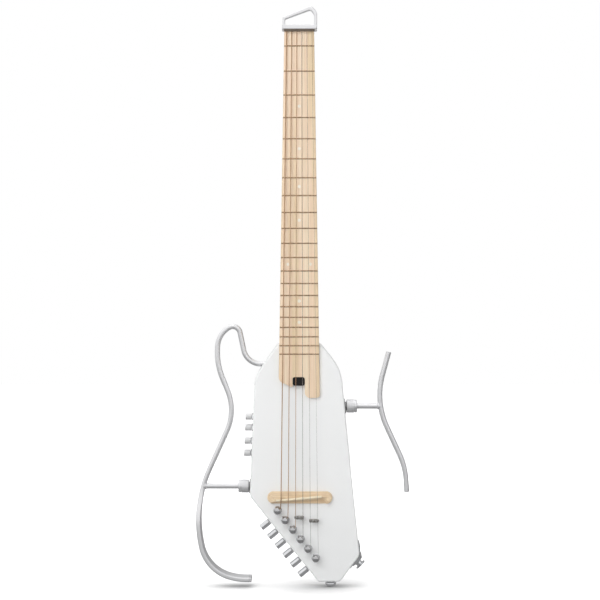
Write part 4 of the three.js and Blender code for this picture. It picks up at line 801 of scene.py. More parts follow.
def boardShell():
    # Sections across the board: flat underside, upright sides, rolled edges and the crowned front
    z = np.linspace(neck["endZ"], board["lowZ"], board["rows"])
    half = halfWidth(z)[:, None]
    roll = np.linspace(0, np.pi / 2, board["rollSteps"])
    across = board["edgeAcross"]
    crown = np.linspace(-1, 1, board["crownSteps"])[1:-1]
    leftX = -half + across * (1 - np.cos(roll))
    x = np.hstack([-half, leftX, crown * (half - across), -leftX[:, ::-1], half])
    sink = board["edgeDown"] * (1 - np.sin(roll))
    down = guitar["boardFront"] + np.concatenate([sink, 0 * crown, sink[::-1]])
    y = np.hstack([0 * half - gap, down + crownDrop(x[:, 1:-1]), 0 * half - gap])
    return gridShell(np.stack([x, y, np.repeat(z[:, None], x.shape[1], 1)], -1))


def boardLimit():
    # The lower end's steps and notch; its long sides stand clear of the board
    notchLeft, notchRight = cover["x"] - cover["width"] / 2 - gap, cover["x"] + cover["width"] / 2 + gap
    notchTop = cover["z"] + cover["height"] / 2 + gap
    left = -halfWidth(board["leftEndZ"]) - board["sideClear"]
    right = halfWidth(board["tongue"][1]) + board["sideClear"]
    acrossPast, upPast = board["headPast"]
    farHalf, farZ = halfWidth(neck["endZ"]) + acrossPast, neck["endZ"] + upPast
    line = [(left, board["leftEndZ"]), board["shoulder"], (notchLeft, notchTop), (notchRight, notchTop),
            board["tongue"], (right, board["rightEndZ"]), (farHalf, farZ), (-farHalf, farZ)]
    return slabShell(line, board["endRounds"], [(board["limitFront"], 0), (board["limitBack"], 0)], steps=8)


addPiece("fingerboard", [boardShell()], mapleBoard, replaces=["fretboard"], within=[[boardLimit()]],
         sharp=35)

frets = {"width": 2.0, "height": 1.0, "inset": 0.35, "endStep": 0.25, "endShare": 0.45, "ease": 2.2, "sunk": 0.25,
         "ringSteps": 10, "lengthSteps": 22}


def fretShell(n):
    # A half ellipse carried across the board along its crown, falling away at both ends
    z = fretZ(n)
    half = halfWidth(z) - frets["inset"]
    inner = half - frets["endStep"]
    x = np.concatenate([[-half], np.linspace(-inner, inner, frets["lengthSteps"]), [half]])
    fall = np.clip((half - np.abs(x)) / frets["ease"], 0, 1)
    low = frets["endShare"]
    height = frets["height"] * (low + (1 - low) * np.sqrt(np.clip(1 - (1 - fall) ** 2, 0, 1)))
    angle = np.linspace(0, np.pi, frets["ringSteps"])
    base = guitar["boardFront"] + crownDrop(x)
    y = np.hstack([base[:, None] - height[:, None] * np.sin(angle), base[:, None] + frets["sunk"] + 0 * angle[:2]])
    side = frets["width"] / 2
    across = np.concatenate([side * np.cos(angle), [-side, side]])
    x, across = np.meshgrid(x, across, indexing="ij")
    return gridShell(np.stack([x, y, z + across], -1))


addPiece("frets", [fretShell(n) for n in range(guitar["frets"] + 1)], fretMetal, sharp=50)

dots = {
    "single": (3, 5, 7, 9, 15, 17), "double": (12,), "radius": 2.3, "faceShare": 0.8, "apart": 32, "proud": 0.06,
    "rim": 0.02, "sunk": 0.6, "sideRadius": 1.0, "sideY": -2.8, "sideSunk": 0.8, "sideProud": 0.04, "sideApart": 4.4,
}


def spaceZ(n):
    # Halfway between a fret and the one before it
    return (fretZ(n) + fretZ(n - 1)) / 2


def dotShells():
    # Low round buttons that follow the board's crown
    radius, proud, sunk = dots["radius"], dots["proud"], dots["sunk"]
    profile = [(0, proud), (radius * dots["faceShare"], proud), (radius, dots["rim"]), (radius, -sunk), (0, -sunk)]
    places = [(0.0, n) for n in dots["single"]]
    places += [(side * dots["apart"] / 2, n) for n in dots["double"] for side in (-1, 1)]
    dot, front = latheShell(profile, sides=40), guitar["boardFront"]
    return [aimed(dot, (x, front + crownDrop(x), spaceZ(n)), frontward) for x, n in places]


def sideDotShells():
    # Short rods in the board's left edge, two of them apart at the double place
    shells = []
    for n in dots["single"] + dots["double"] * 2:
        z, edge = spaceZ(n), -halfWidth(spaceZ(n))
        ends = [(x, dots["sideY"], z) for x in (edge + dots["sideSunk"], edge - dots["sideProud"])]
        shells.append(rodShell(dots["sideRadius"], *ends, sides=20))
    shells[-1][0][:, 2] += dots["sideApart"] / 2
    shells[-2][0][:, 2] -= dots["sideApart"] / 2
    return shells


addPiece("boardDots", dotShells(), pearl, sharp=60)
addPiece("sideDots", sideDotShells(), blackPlastic)


def coverShell():
    # A black cap with a full round rim and a shallow dished field
    half, high = cover["width"] / 2, cover["height"] / 2
    corners = boxCorners(cover["x"] - half, cover["x"] + half, cover["z"] - high, cover["z"] + high)
    front = guitar["boardFront"] - cover["proud"]
    dish = [(front + down, grow) for down, grow in cover["dish"]]
    return slabShell(corners, cover["round"], dish + softLevels(front, -gap, cover["edge"])[1:], steps=6)


addPiece("rodCover", [coverShell()], blackPlastic, replaces=["truss_cover"], sharp=50)
print("neck made")


# Metal head: a bar across the neck's end and the loop above it
head = {
    "bottomZ": 23.3, "barTopZ": 29.5, "front": -13, "back": 14.5, "left": -24.9, "right": 25.8, "round": 3,
    "loopDepth": 8.5, "soften": 1.4, "softSteps": 5, "barEdge": 1, "ballPocket": 2.6, "ballLength": 3, "ballRadius": 2,
    "ballHole": 0.5, "ballSeat": 0.4, "stringHole": 0.95, "overrun": 2,
}
loopOuter = {"corners": [(-24.1, 24.6), (25.8, 24.6), (25.8, 47.5), (17.5, 57.6), (-24.1, 40.8)],
             "rounds": [0.5, 0.5, 9, 7, 2.5]}
loopInner = {"corners": [(-20.3, 29.5), (21.5, 29.5), (21.5, 44), (16.4, 50.9), (-20.3, 37.3)],
             "rounds": [1.2, 1.2, 6, 4, 2]}


def nutX(i):
    # The strings are evenly spaced at the zero fret
    return guitar["nutSpread"] * (i / (stringCount - 1) - 0.5)


def bridgeX(i):
    # And at the saddle
    return guitar["bridgeSpread"] * (i / (stringCount - 1) - 0.5)


def headX(i):
    # The line from saddle to zero fret, carried on to the bar
    return nutX(i) + (nutX(i) - bridgeX(i)) * head["bottomZ"] / guitar["scaleLength"]


def nutY(i):
    # The string's middle, over the zero fret's crown by a gap and its own radius
    return guitar["boardFront"] + crownDrop(nutX(i)) - frets["height"] - gap - guitar["strings"][i] / 2


def loopShell():
    # Outer and inner outline carried round a soft square section, front to back
    soft = head["soften"]
    angle = np.linspace(0, np.pi / 2, head["softSteps"])
    back = head["front"] + head["loopDepth"]
    quarter = [(-soft * (1 - math.sin(a)), soft * (1 - math.cos(a))) for a in angle]
    section = [(grow, head["front"] + down) for grow, down in quarter]
    section += [(grow, back - down) for grow, down in quarter[::-1]]
    rings = []
    for outline, way in ((loopOuter, 1), (loopInner, -1)):
        for grow, y in section[::way]:
            rings.append(standing(roundedLine(outline["corners"], outline["rounds"], way * grow, steps=12), y))
    return gridShell(np.array(rings), loop=True)


def headTools():
    # A hole through the bar for each string, and a wider pocket for its ball
    low, top, over = head["bottomZ"], head["barTopZ"], head["overrun"]
    kinds = ((head["stringHole"], low - over, 20), (head["ballPocket"], top - head["ballLength"] - 2 * gap, 24))
    spots = [(headX(i), nutY(i)) for i in range(stringCount)]
    return [[rodShell(radius, (*spot, start), (*spot, top + over), sides) for spot in spots]
            for radius, start, sides in kinds]


barCorners = boxCorners(head["left"], head["right"], head["front"], head["back"])
barLevels = softLevels(head["bottomZ"], head["barTopZ"], head["barEdge"], head["barEdge"])
barShell = slabShell(barCorners, head["round"], barLevels, steps=6, plane="xy")
addPiece("headBar", [barShell], satinSilver, replaces=["head_loop"], joins=[[loopShell()]],
         cuts=headTools())

# Dark guide between bar and board, slotted for the strings; its dark tone is painted shade, standing in for the shadow
# under the bar
guide = {"bottomZ": 20.6, "front": -12.6, "back": -6.4, "halfLength": 22.2, "round": 1.2, "edge": 0.5, "topGap": 0.1,
         "slotHalf": 0.95, "slotFront": -9.4, "slotRound": 0.9}
guideCorners = boxCorners(-guide["halfLength"], guide["halfLength"], guide["front"], guide["back"])
guideLevels = softLevels(guide["bottomZ"], head["bottomZ"] - guide["topGap"], guide["edge"], guide["topGap"])
guideShell = slabShell(guideCorners, guide["round"], guideLevels, plane="xy")
slotLevels = [(guide["bottomZ"] - head["overrun"], 0), (head["bottomZ"] + head["overrun"], 0)]
guideSlots = [slabShell(boxCorners(headX(i) - guide["slotHalf"], headX(i) + guide["slotHalf"], guide["slotFront"], 0),
                        guide["slotRound"], slotLevels, plane="xy") for i in range(stringCount)]
addPiece("stringGuideShade", [guideShell], shadeBrownPlastic, cuts=[guideSlots])
print("head made")


# Bridge and saddle
bridge = {
    "x": 1, "z": -652.7, "length": 94.2, "width": 17.5, "height": 8.6, "edge": 2.2, "step": 2.6, "stepWidth": 0.6,
    "slope": 1.1, "past": 1.5, "fade": 8, "endFrom": 36, "endFall": 4.2, "endPower": 1.6, "lowest": 1.2,
    "columns": 120, "rows": 45,
}
saddle = {
    "thickness": 2.9, "length": 66, "top": 12.6, "seatDepth": 5.4, "tiltAngle": 5.1, "x": -0.6, "z": -653.6,
    "endEase": 1.5, "endDrop": 1.2, "crestShare": 0.8, "endLeast": 0.25, "slotGap": 0.15, "slotRound": 0.4,
    "slotDeeper": 1.9, "slotFrom": -20, "columns": 40, "ringSteps": 9,
}


def saddleZ(x):
    # The saddle's slanted middle line
    return saddle["z"] + (x - saddle["x"]) * math.tan(math.radians(saddle["tiltAngle"]))


def atSaddle(shell):
    # Leans across the strings to lengthen the heavy ones
    angle = math.radians(saddle["tiltAngle"])
    turn = np.array([[math.cos(angle), 0, math.sin(angle)], [0, 1, 0], [-math.sin(angle), 0, math.cos(angle)]])
    return shell[0] @ turn + np.array([saddle["x"], 0, saddle["z"]]), shell[1]


def saddleShell():
    # A thin bar whose crest follows the board's crown, round from front to back
    x = np.linspace(-1, 1, saddle["columns"]) * saddle["length"] / 2
    ease = saddle["endEase"]
    nearEnd = np.clip((np.abs(x) - saddle["length"] / 2 + ease) / ease, 0, 1)
    ends = np.sqrt(np.clip(1 - nearEnd ** 2, saddle["endLeast"], 1))
    crest = -saddle["top"] + crownDrop(x) + (1 - ends) * saddle["endDrop"]
    angle = np.linspace(0, np.pi, saddle["ringSteps"])
    half = saddle["thickness"] / 2
    foot = -bridge["height"] + saddle["seatDepth"]
    z = np.concatenate([half * np.cos(angle), [-half, half]])
    y = np.hstack([crest[:, None] + half * saddle["crestShare"] * (1 - np.sin(angle)), np.full((len(x), 2), foot)])
    x, z = np.meshgrid(x, z, indexing="ij")
    return gridShell(np.stack([x, y, z], -1))


def bridgeShell():
    # A bar with round ends. Its front drops by a quarter circle at the rim, by a power of the way to either end,
    # and by a step and an even slope behind the saddle
    half, endX = bridge["width"] / 2, bridge["length"] / 2 - bridge["width"] / 2
    x = np.sin(np.linspace(-np.pi / 2, np.pi / 2, bridge["columns"])) * bridge["length"] / 2
    past = np.maximum(np.abs(x) - endX, 0)
    wide = np.sqrt(np.maximum(half ** 2 - past ** 2, 0))
    z = wide[:, None] * np.sin(np.linspace(-np.pi / 2, np.pi / 2, bridge["rows"]))
    inward = np.minimum(np.maximum(half - np.hypot(z, past[:, None]), 0), bridge["edge"])
    rim = bridge["edge"] - np.sqrt(bridge["edge"] ** 2 - (bridge["edge"] - inward) ** 2)
    placeX = x[:, None] + bridge["x"]
    behind = saddleZ(placeX) - (z + bridge["z"]) - saddle["thickness"] / 2
    drop = bridge["step"] * smoothStep(behind, 0, bridge["stepWidth"]) + bridge["slope"] * np.maximum(behind, 0)
    reach = saddle["length"] / 2 + bridge["past"]
    drop = drop * (1 - smoothStep(np.abs(placeX - saddle["x"]), reach, reach + bridge["fade"]))
    ends = np.maximum(np.abs(x[:, None]) - bridge["endFrom"], 0) / (bridge["length"] / 2 - bridge["endFrom"])
    front = -bridge["height"] + np.maximum(rim, 0) + drop + bridge["endFall"] * ends ** bridge["endPower"]
    front = np.minimum(front, -bridge["lowest"])
    back = np.full((len(front), 1), -gap)
    y = np.hstack([back, front, back])
    z = np.hstack([z[:, :1], z, z[:, -1:]])
    return gridShell(np.stack([np.repeat(placeX, y.shape[1], 1), y, z + bridge["z"]], -1))


slotHalf, slotEnd = (saddle[size] / 2 + saddle["slotGap"] for size in ("thickness", "length"))
slotLevels = [(saddle["slotFrom"], 0), (-bridge["height"] + saddle["seatDepth"] + saddle["slotDeeper"], 0)]
saddleSlot = atSaddle(slabShell(boxCorners(-slotEnd, slotEnd, -slotHalf, slotHalf), saddle["slotRound"], slotLevels))
addPiece("bridgeBar", [bridgeShell()], bridgeWood, replaces=["bridge"], cuts=[[saddleSlot]])
addPiece("saddleBlade", [atSaddle(saddleShell())], saddleBone, replaces=["saddle"], sharp=50)
print("bridge made")


# Strings: ball, zero fret, saddle, tree, and turns round the post
winding = {
    "turns": 2.25, "stepsPerTurn": 40, "pitch": 1.06, "clear": 0.12, "waist": 3.3, "highest": -9.3,
    "spans": (0.25, 0.5, 0.75, 0.995),  # shares of the way from zero fret to saddle
    "crest": (0.05, -1.45),  # further back and down on the saddle's far side
    "leads": (0.5, 0.9, 0.97),  # shares of the way from saddle or tree to the post
}
trees = {"places": [(2, -681), (4, -685.6)], "length": 14.2, "width": 5.4, "thickness": 2.3, "under": -7.4, "stem": 1.9,
         "roundShare": 0.7, "frontEdge": 0.8, "backEdge": 0.5, "stemSunk": 0.5, "screw": (2.2, 0.8)}


def stringLine(i):
    # The route's listed places, then a helix down the post's waist
    gauge = guitar["strings"][i]
    crossX = bridgeX(i)
    crossZ = saddleZ(crossX)
    crossY = -saddle["top"] + crownDrop(crossX - saddle["x"]) - gap - gauge / 2
    place = postPlace(i)
    radius = winding["waist"] + winding["clear"] + gauge / 2
    turn = np.linspace(0, winding["turns"], int(winding["turns"] * winding["stepsPerTurn"]))
    angle = -2 * np.pi * turn
    depth = winding["highest"] + gauge + gauge * winding["pitch"] * turn
    helix = np.stack([place[0] + radius * np.cos(angle), depth, place[2] + radius * np.sin(angle)], -1)
    route = [(headX(i), nutY(i), head["barTopZ"] - 2 * gap - head["ballSeat"]), (nutX(i), nutY(i), 0)]
    across, deeper = crossX - nutX(i), crossY - nutY(i)
    route += [(nutX(i) + across * share, nutY(i) + deeper * share, crossZ * share) for share in winding["spans"]]
    back, down = winding["crest"]
    route += [(crossX, crossY, crossZ), (crossX, crossY + back, crossZ + down)]
    for first, treeZ in trees["places"]:
        if i in (first, first + 1):
            under = trees["under"] + gap + gauge / 2
            for z in (treeZ + trees["width"] / 2, treeZ - trees["width"] / 2):
                share = (crossZ - z) / (crossZ - helix[0][2])
                route.append((crossX + (helix[0][0] - crossX) * share, under, z))
    last = np.array(route[-1])
    lead = last + (helix[0] - last) * np.array(winding["leads"])[:, None]
    return np.concatenate([np.array(route), lead, helix])


ballHole, ballRadius, ballLength = head["ballHole"], head["ballRadius"], head["ballLength"]
ballProfile = [(ballHole, 0), (ballRadius, 0), (ballRadius, ballLength), (ballHole, ballLength)]
for i, gauge in enumerate(guitar["strings"]):
    wire, slot = (bronzeWire, "bronze_string") if i < 3 else (plainWire, "steel_string")
    line = stringLine(i)
    ball = aimed(tubeShell(ballProfile, sides=24, soften=0.5), line[0] + np.array([0, 0, head["ballSeat"]]), (0, 0, -1))
    shells = [sweepShell(line, gauge / 2, gauge / 2, sides=12), ball]
    addPiece(f"string{i + 1}", shells, wire, replaces=[f"string_{i + 1}"], sharp=60)


def treeShells(which):
    # A bar halfway between its two strings, held down by a screw through its stem
    first, z = trees["places"][which]
    lines = [stringLine(i) for i in (first, first + 1)]
    x = sum(line[np.argmin(np.abs(line[:, 2] - z))][0] for line in lines) / 2
    half, wide, front = trees["length"] / 2, trees["width"] / 2, trees["under"] - trees["thickness"]
    levels = softLevels(front, trees["under"], trees["frontEdge"], trees["backEdge"])
    bar = slabShell(boxCorners(x - half, x + half, z - wide, z + wide), wide * trees["roundShare"], levels, steps=6)
    stem = rodShell(trees["stem"], (x, trees["under"] - trees["stemSunk"], z), (x, -gap, z), sides=24)
    return [bar, stem, crossScrew(*trees["screw"], (x, front, z), frontward)]


for which in range(len(trees["places"])):
    addPiece(f"stringTree{which + 1}", treeShells(which), darkMetal, replaces=[f"string_tree_{which + 1}"])
print("strings made")


# Tuners: frame, post, worm wheel, and the knob with its worm
tuner = {
    "plate": 1.3, "plateRound": 1.5, "halfWidth": 8.2, "before": 6.3, "after": 10.4, "ear": 2.1, "earSunk": 0.4,
    "earClear": 0.7, "earRoundShare": 0.99, "bushing": 4.7, "bushingPast": 0.2, "flange": 6.1, "flangeHeight": 1.4,
    "flangeChamfer": (0.9, 0.7), "screw": (1.7, 0.7), "screwSpots": ((-4.2, -6), (-4.2, 6)),
}
post = {
    "height": 14.6, "cap": 5.4, "capShare": 0.985, "domeHeight": 4.3, "capHeight": 4.6, "waist": 3.3, "waistFrom": 2.9,
    "waistTo": 9.6, "rim": 4.7, "rimTo": 2.2, "shaft": 2.9, "shaftEnd": 21.6, "seat": 2, "seatEnd": 27.2, "end": 27.6,
    "screw": (1.9, 0.7), "screwY": 27.4, "domeSteps": 9,
}
gear = {
    "teeth": 14, "pitchRadius": 4.4, "wormRadius": 2.6, "thickness": 4.2, "wide": 0.38, "tip": 0.9, "root": 1.3,
    "flankAngle": 20, "hubShare": 0.86, "chamfer": 0.25, "flatShare": 0.88, "boreGap": 0.15,
    "wormTurns": 3, "wormPast": 0.6, "wormRings": 110, "wormSides": 32,
    "wormFade": (0.5, 1.2),  # the thread's height fades from so far past its run, over this length
}
knob = {
    "radius": 4.85, "length": 15.3, "off": 2.2, "shaft": 1.5, "sleeve": 2, "dish": (1.6, 0.25), "outerChamfer": 0.7,
    "innerChamfer": 0.8, "overlap": 0.5,
}
toothPitch = 2 * math.pi * gear["pitchRadius"] / gear["teeth"]
gearModule = 2 * gear["pitchRadius"] / gear["teeth"]
addendum, dedendum = gear["tip"] * gearModule, gear["root"] * gearModule
flank = math.tan(math.radians(gear["flankAngle"]))
toothHalf = gear["wide"] * toothPitch / 2
earInner = gear["pitchRadius"] + addendum + tuner["earClear"]


def tunerFrameShells():
    # Base plate with two round-topped ears for the worm shaft, the bushing through the shelf and its front flange
    back = tunerRow["shelf"] + gap
    top = back + tuner["plate"]
    plate = boxCorners(-tuner["before"], tuner["after"], -tuner["halfWidth"], tuner["halfWidth"])
    base = slabShell(plate, tuner["plateRound"], softLevels(back, top, lowEdge=0.2, highEdge=0.4))
    earRadius = gear["wormRadius"] + addendum
    rounding = earRadius * tuner["earRoundShare"]
    left, right = tunerRow["axleX"] - earRadius, tunerRow["axleX"] + earRadius
    low, high = top - tuner["earSunk"], tunerRow["axleDepth"] + earRadius
    corners = [(right, low), (right, high), (left, high), (left, low)]
    rounds = [0, rounding, rounding, 0]
    earLevels = [softLevels(z, z + tuner["ear"], 0.3, 0.3) for z in (earInner, -earInner - tuner["ear"])]
    ears = [slabShell(corners, rounds, levels, steps=10, plane="xy") for levels in earLevels]
    front, bore, outer = -gap - tuner["flangeHeight"], post["shaft"] + loose, tuner["flange"]
    across, along = tuner["flangeChamfer"]
    ring = [(bore, front), (outer - across, front), (outer, front + along), (outer, -gap), (tuner["bushing"], -gap),
            (tuner["bushing"], back + tuner["bushingPast"]), (bore, back + tuner["bushingPast"])]
    bushing = aimed(tubeShell(ring, sides=48, soften=0.25), (0, 0, 0), backward)
    screws = [crossScrew(*tuner["screw"], (x, top, z), backward) for x, z in tuner["screwSpots"]]
    return [base, *ears, bushing, *screws]


def postShells():
    # A polished button over a waist for the string, a rim, the shaft down to the wheel, and the wheel's screw
    cap, waist, rim, shaft, seat = (post[size] for size in ("cap", "waist", "rim", "shaft", "seat"))
    height = -post["height"]
    angle = np.linspace(0, np.pi / 2, post["domeSteps"])
    dome = [(cap * math.sin(a) * post["capShare"], height + post["domeHeight"] * (1 - math.cos(a))) for a in angle]
    lower = [(cap, height + post["capHeight"]), (waist, -post["waistTo"]), (waist, -post["waistFrom"]),
             (rim, -post["waistFrom"]), (rim, -post["rimTo"]), (shaft, -post["rimTo"]), (shaft, post["shaftEnd"]),
             (seat, post["shaftEnd"]), (seat, post["seatEnd"]), (0, post["end"])]
    screw = crossScrew(*post["screw"], (0, post["screwY"], 0), backward)
    return [aimed(latheShell(dome + lower), (0, 0, 0), backward), screw]


def wheelShell():
    # Trapezoid teeth round the pitch circle, leaning by the worm's lead: its pitch over its own circumference
    pitchRadius = gear["pitchRadius"]
    tip, root = pitchRadius + addendum, pitchRadius - dedendum
    tipHalf = (toothHalf - addendum * flank) / tip
    rootHalf = (toothHalf + dedendum * flank) / root
    pitchHalf = toothHalf / pitchRadius
    corners = np.array([(root, -rootHalf), (pitchRadius, -pitchHalf), (tip, -tipHalf),
                        (tip, tipHalf), (pitchRadius, pitchHalf), (root, rootHalf)])
    radius = np.tile(corners[:, 0], gear["teeth"])
    angle = (evenAngles(gear["teeth"])[:, None] + corners[None, :, 1]).ravel()
    half = gear["thickness"] / 2
    lean = half * toothPitch / (2 * np.pi * gear["wormRadius"]) / pitchRadius
    bore, hub = 0 * radius + post["seat"] + gear["boreGap"], np.minimum(radius, root) * gear["hubShare"]
    chamfered, flat = radius - gear["chamfer"], gear["flatShare"]
    nearHalf = [(-1, bore), (-1, hub), (-1, chamfered), (-flat, radius)]
    rows = []
    for share, ring in nearHalf + [(0, radius)] + [(-share, ring) for share, ring in nearHalf[::-1]]:
        rows.append(turned(ring, angle - lean * share, tunerRow["axleDepth"] + half * share)[:, [0, 2, 1]])
    return gridShell(np.array(rows), loop=True)


def knobShells():
    # The worm is a radius that rises to the thread's tip wherever the height matches the turn; the grip is turned
    root, tip = gear["wormRadius"] - dedendum, gear["wormRadius"] + addendum
    end = earInner - 2 * gap
    run = gear["wormTurns"] * toothPitch / 2
    past = run + gear["wormPast"]
    z = np.concatenate([[-end], np.linspace(-past, past, gear["wormRings"]), [end]])
    angle = evenAngles(gear["wormSides"])
    shift = z[:, None] - toothPitch * (np.pi - angle) / (2 * np.pi)
    off = np.abs((shift + toothPitch / 2) % toothPitch - toothPitch / 2)
    tipHalf = toothHalf - addendum * flank
    ridge = np.clip(1 - (off - tipHalf) / ((tip - root) * flank), 0, 1)
    fadePast, fade = gear["wormFade"]
    ease = smoothStep(run + fadePast - np.abs(z), 0, fade)[:, None]
    radius = root + (tip - root) * ridge * ease
    worm = gridShell(turned(radius, angle, z[:, None]))
    start, radius = -tunerRow["inset"] - knob["off"], knob["radius"]
    tipEnd, earOuter = start - knob["length"], earInner + tuner["ear"]
    rim, dish = knob["dish"]
    outer, inner = knob["outerChamfer"], knob["innerChamfer"]
    grip = [(0, tipEnd + dish), (radius - rim, tipEnd), (radius - outer, tipEnd), (radius, tipEnd + outer),
            (radius, start - inner), (radius - inner, start), (knob["sleeve"], start),
            (knob["sleeve"], -earOuter - gap), (0, -earOuter - gap)]
    tailEnds = [(0, 0, -earOuter - knob["overlap"]), (0, 0, earOuter + 2 * gap)]
    tail = rodShell(knob["shaft"], *tailEnds, sides=24, soften=0.2)
    axle = np.array([tunerRow["axleX"], tunerRow["axleDepth"], 0])
    return [(points + axle, faces) for points, faces in (worm, latheShell(grip, sides=56, soften=0.25), tail)]


tunerParts = (
    # piece, its shells, finish, slot, the body it rides after the tuner's number, its node, angle of its sharp edges
    ("tunerFrame", tunerFrameShells(), chrome, "chrome", None, "tuner_frame", 40),
    ("tunerPost", postShells(), shadedPostChrome, "chrome", "post", "tuner_post", 40),
    ("tunerWheel", [wheelShell()], brass, "brass", "post", "tuner_wheel", 30),
    ("tunerKnob", knobShells(), chrome, "chrome", "knob", "tuner_knob", 40),
)
for i in range(tunerRow["count"]):
    for name, shells, material, slot, rider, node, sharp in tunerParts:
        body = f"tuner_{i + 1}_{rider}" if rider else "root"
        placed = [atTuner(shell, i) for shell in shells]
        addPiece(f"{name}{i + 1}", placed, material, body, [f"{node}_{i + 1}"], sharp=sharp)
print("tuners made")


# Bent frames: straights and arcs of one tube, with a strut into the body
leftFrame = {
    "start": (-36.5, -460.4), "headingAngle": 180, "plug": 18,
    "bends": [(1.6, 25.5, -78), (26.4, 10.8, 108.2), (0, 33.7, 56.5), (3, 100, 25.7), (19.2, 74.5, -46.8),
              (60.1, 179, 35.8), (3.2, 58.4, 62.3), (0, 87.8, 16.5), (4.1, 0, 0)],  # straight, radius, turn
    "restHalfDepth": 17, "flattenFrom": -642, "flattenTo": -692,
}
rightFrame = {
    "start": (130.7, -442.8), "headingAngle": 254.8, "plug": 0,
    "bends": [(34.7, 112, 40.1), (43.6, 105.2, -21.6), (13.7, 0, 0)],
    "restHalfDepth": 3.8, "flattenFrom": -900, "flattenTo": -1000,
}
tubing = {
    "radius": 3.8, "stepAngle": 3, "stepLength": 4, "restSquare": 1.5, "sides": 48, "weldSunk": 0.1, "capSteps": 6,
    "capLength": 3.2, "capEdge": 1.4, "capTaper": 0.32, "capStart": [(0, 0.96), (0, 0.995), (0.15, 1.0)],
}
weld = [(-0.2, -1.5), (1.1, -1.2), (0.9, 0.2), (0.05, 1.3), (-0.2, 1.3)]  # out from the strut's skin, and along it
collar = {
    "radius": 9.7, "length": 15.4, "off": 0.35, "bore": 6.75, "throat": 4.6, "throatLength": 5, "throatSoft": 0.5,
    "ring": 3.6, "ringInset": 0.3, "groove": 0.9, "chamfer": 0.8, "boreEdge": 0.4, "throatEdge": 0.2,
    "grooveSlope": 0.9, "grooveEdge": 0.1,  # the groove's lower side in shares of its depth, and its upper edge
    "ringEdge": (0.05, 0.2),  # the ring's lower edge, inward and up
    "teeth": 44, "knurl": 0.3, "knurlRows": 40, "knurlFlank": 2.2, "knurlFade": 0.7,
}


def bentLine(route):
    # Short chords whose heading turns by an even step along each arc; the places are their running sum
    lengths, turns = ([route["plug"]], [0.0]) if route["plug"] else ([], [])
    for straight, radius, turn in route["bends"]:
        if straight:
            count = math.ceil(straight / tubing["stepLength"])
            lengths += [straight / count] * count
            turns += [0.0] * count
        if radius:
            count = math.ceil(abs(turn) / tubing["stepAngle"])
            step = math.radians(turn) / count
            lengths += [2 * radius * math.sin(abs(step) / 2)] * count
            turns += [step] * count
    turns = np.array(turns)
    heading = math.radians(route["headingAngle"]) + np.cumsum(turns) - turns / 2
    steps = np.array(lengths)[:, None] * np.stack([np.cos(heading), np.sin(heading)], 1)
    return standing(np.concatenate([[route["start"]], np.array(route["start"]) + np.cumsum(steps, 0)]), sideDepth)


def frameSection(route, line):
    # Round above, widening into the flat thigh rest below; its section squares up while it doubles in depth
    share = smoothStep(-line[:, 2], -route["flattenFrom"], -route["flattenTo"])
    deep = tubing["radius"] + (route["restHalfDepth"] - tubing["radius"]) * share
    return deep, 2 * (1 + tubing["restSquare"] * np.minimum(deep / tubing["radius"] - 1, 1))


def frameShells(route, line, strutZ, inner):
    # The tube, the strut from where the tube passes its height outside the body, and the weld round their joint
    deep, power = frameSection(route, line)
    tube = sweepShell(line, tubing["radius"], deep, power, tubing["sides"])
    outside = line[np.abs(line[:, 0]) >= slab["corners"][5][0]]
    tubeX = outside[np.argmin(np.abs(outside[:, 2] - strutZ))][0]
    bar = rodShell(strut["radius"], (tubeX, sideDepth, strutZ), (inner, sideDepth, strutZ), sides=40, soften=0.4)
    sign = math.copysign(1, inner - tubeX)
    bead = tubeShell([(strut["radius"] + out, along) for out, along in weld], sides=40, soften=0.4)
    foot = (tubeX + sign * (tubing["radius"] - tubing["weldSunk"]), sideDepth, strutZ)
    return [tube, bar, aimed(bead, foot, (sign, 0, 0))]


def capShell(route, line):
    # The tube's own section, running on past a hairline gap and closing over a soft rim
    deep, power = (values[-1] for values in frameSection(route, line))
    ahead, edge = unit(line[-1] - line[-2]), tubing["capEdge"]
    ends = [(gap + out, share) for out, share in tubing["capStart"]]
    ends += [(tubing["capLength"] - edge + edge * math.sin(a), 1 - tubing["capTaper"] * (1 - math.cos(a)))
             for a in np.linspace(0, np.pi / 2, tubing["capSteps"])]
    out, share = np.array(ends).T[..., None]
    u, v = superellipse(tubing["sides"], power, tubing["radius"] * share, deep - tubing["radius"] * (1 - share))
    depth = np.array([0.0, 1, 0])
    return gridShell((line[-1] + ahead * out)[:, None] + u * np.cross(ahead, depth) + v * depth)


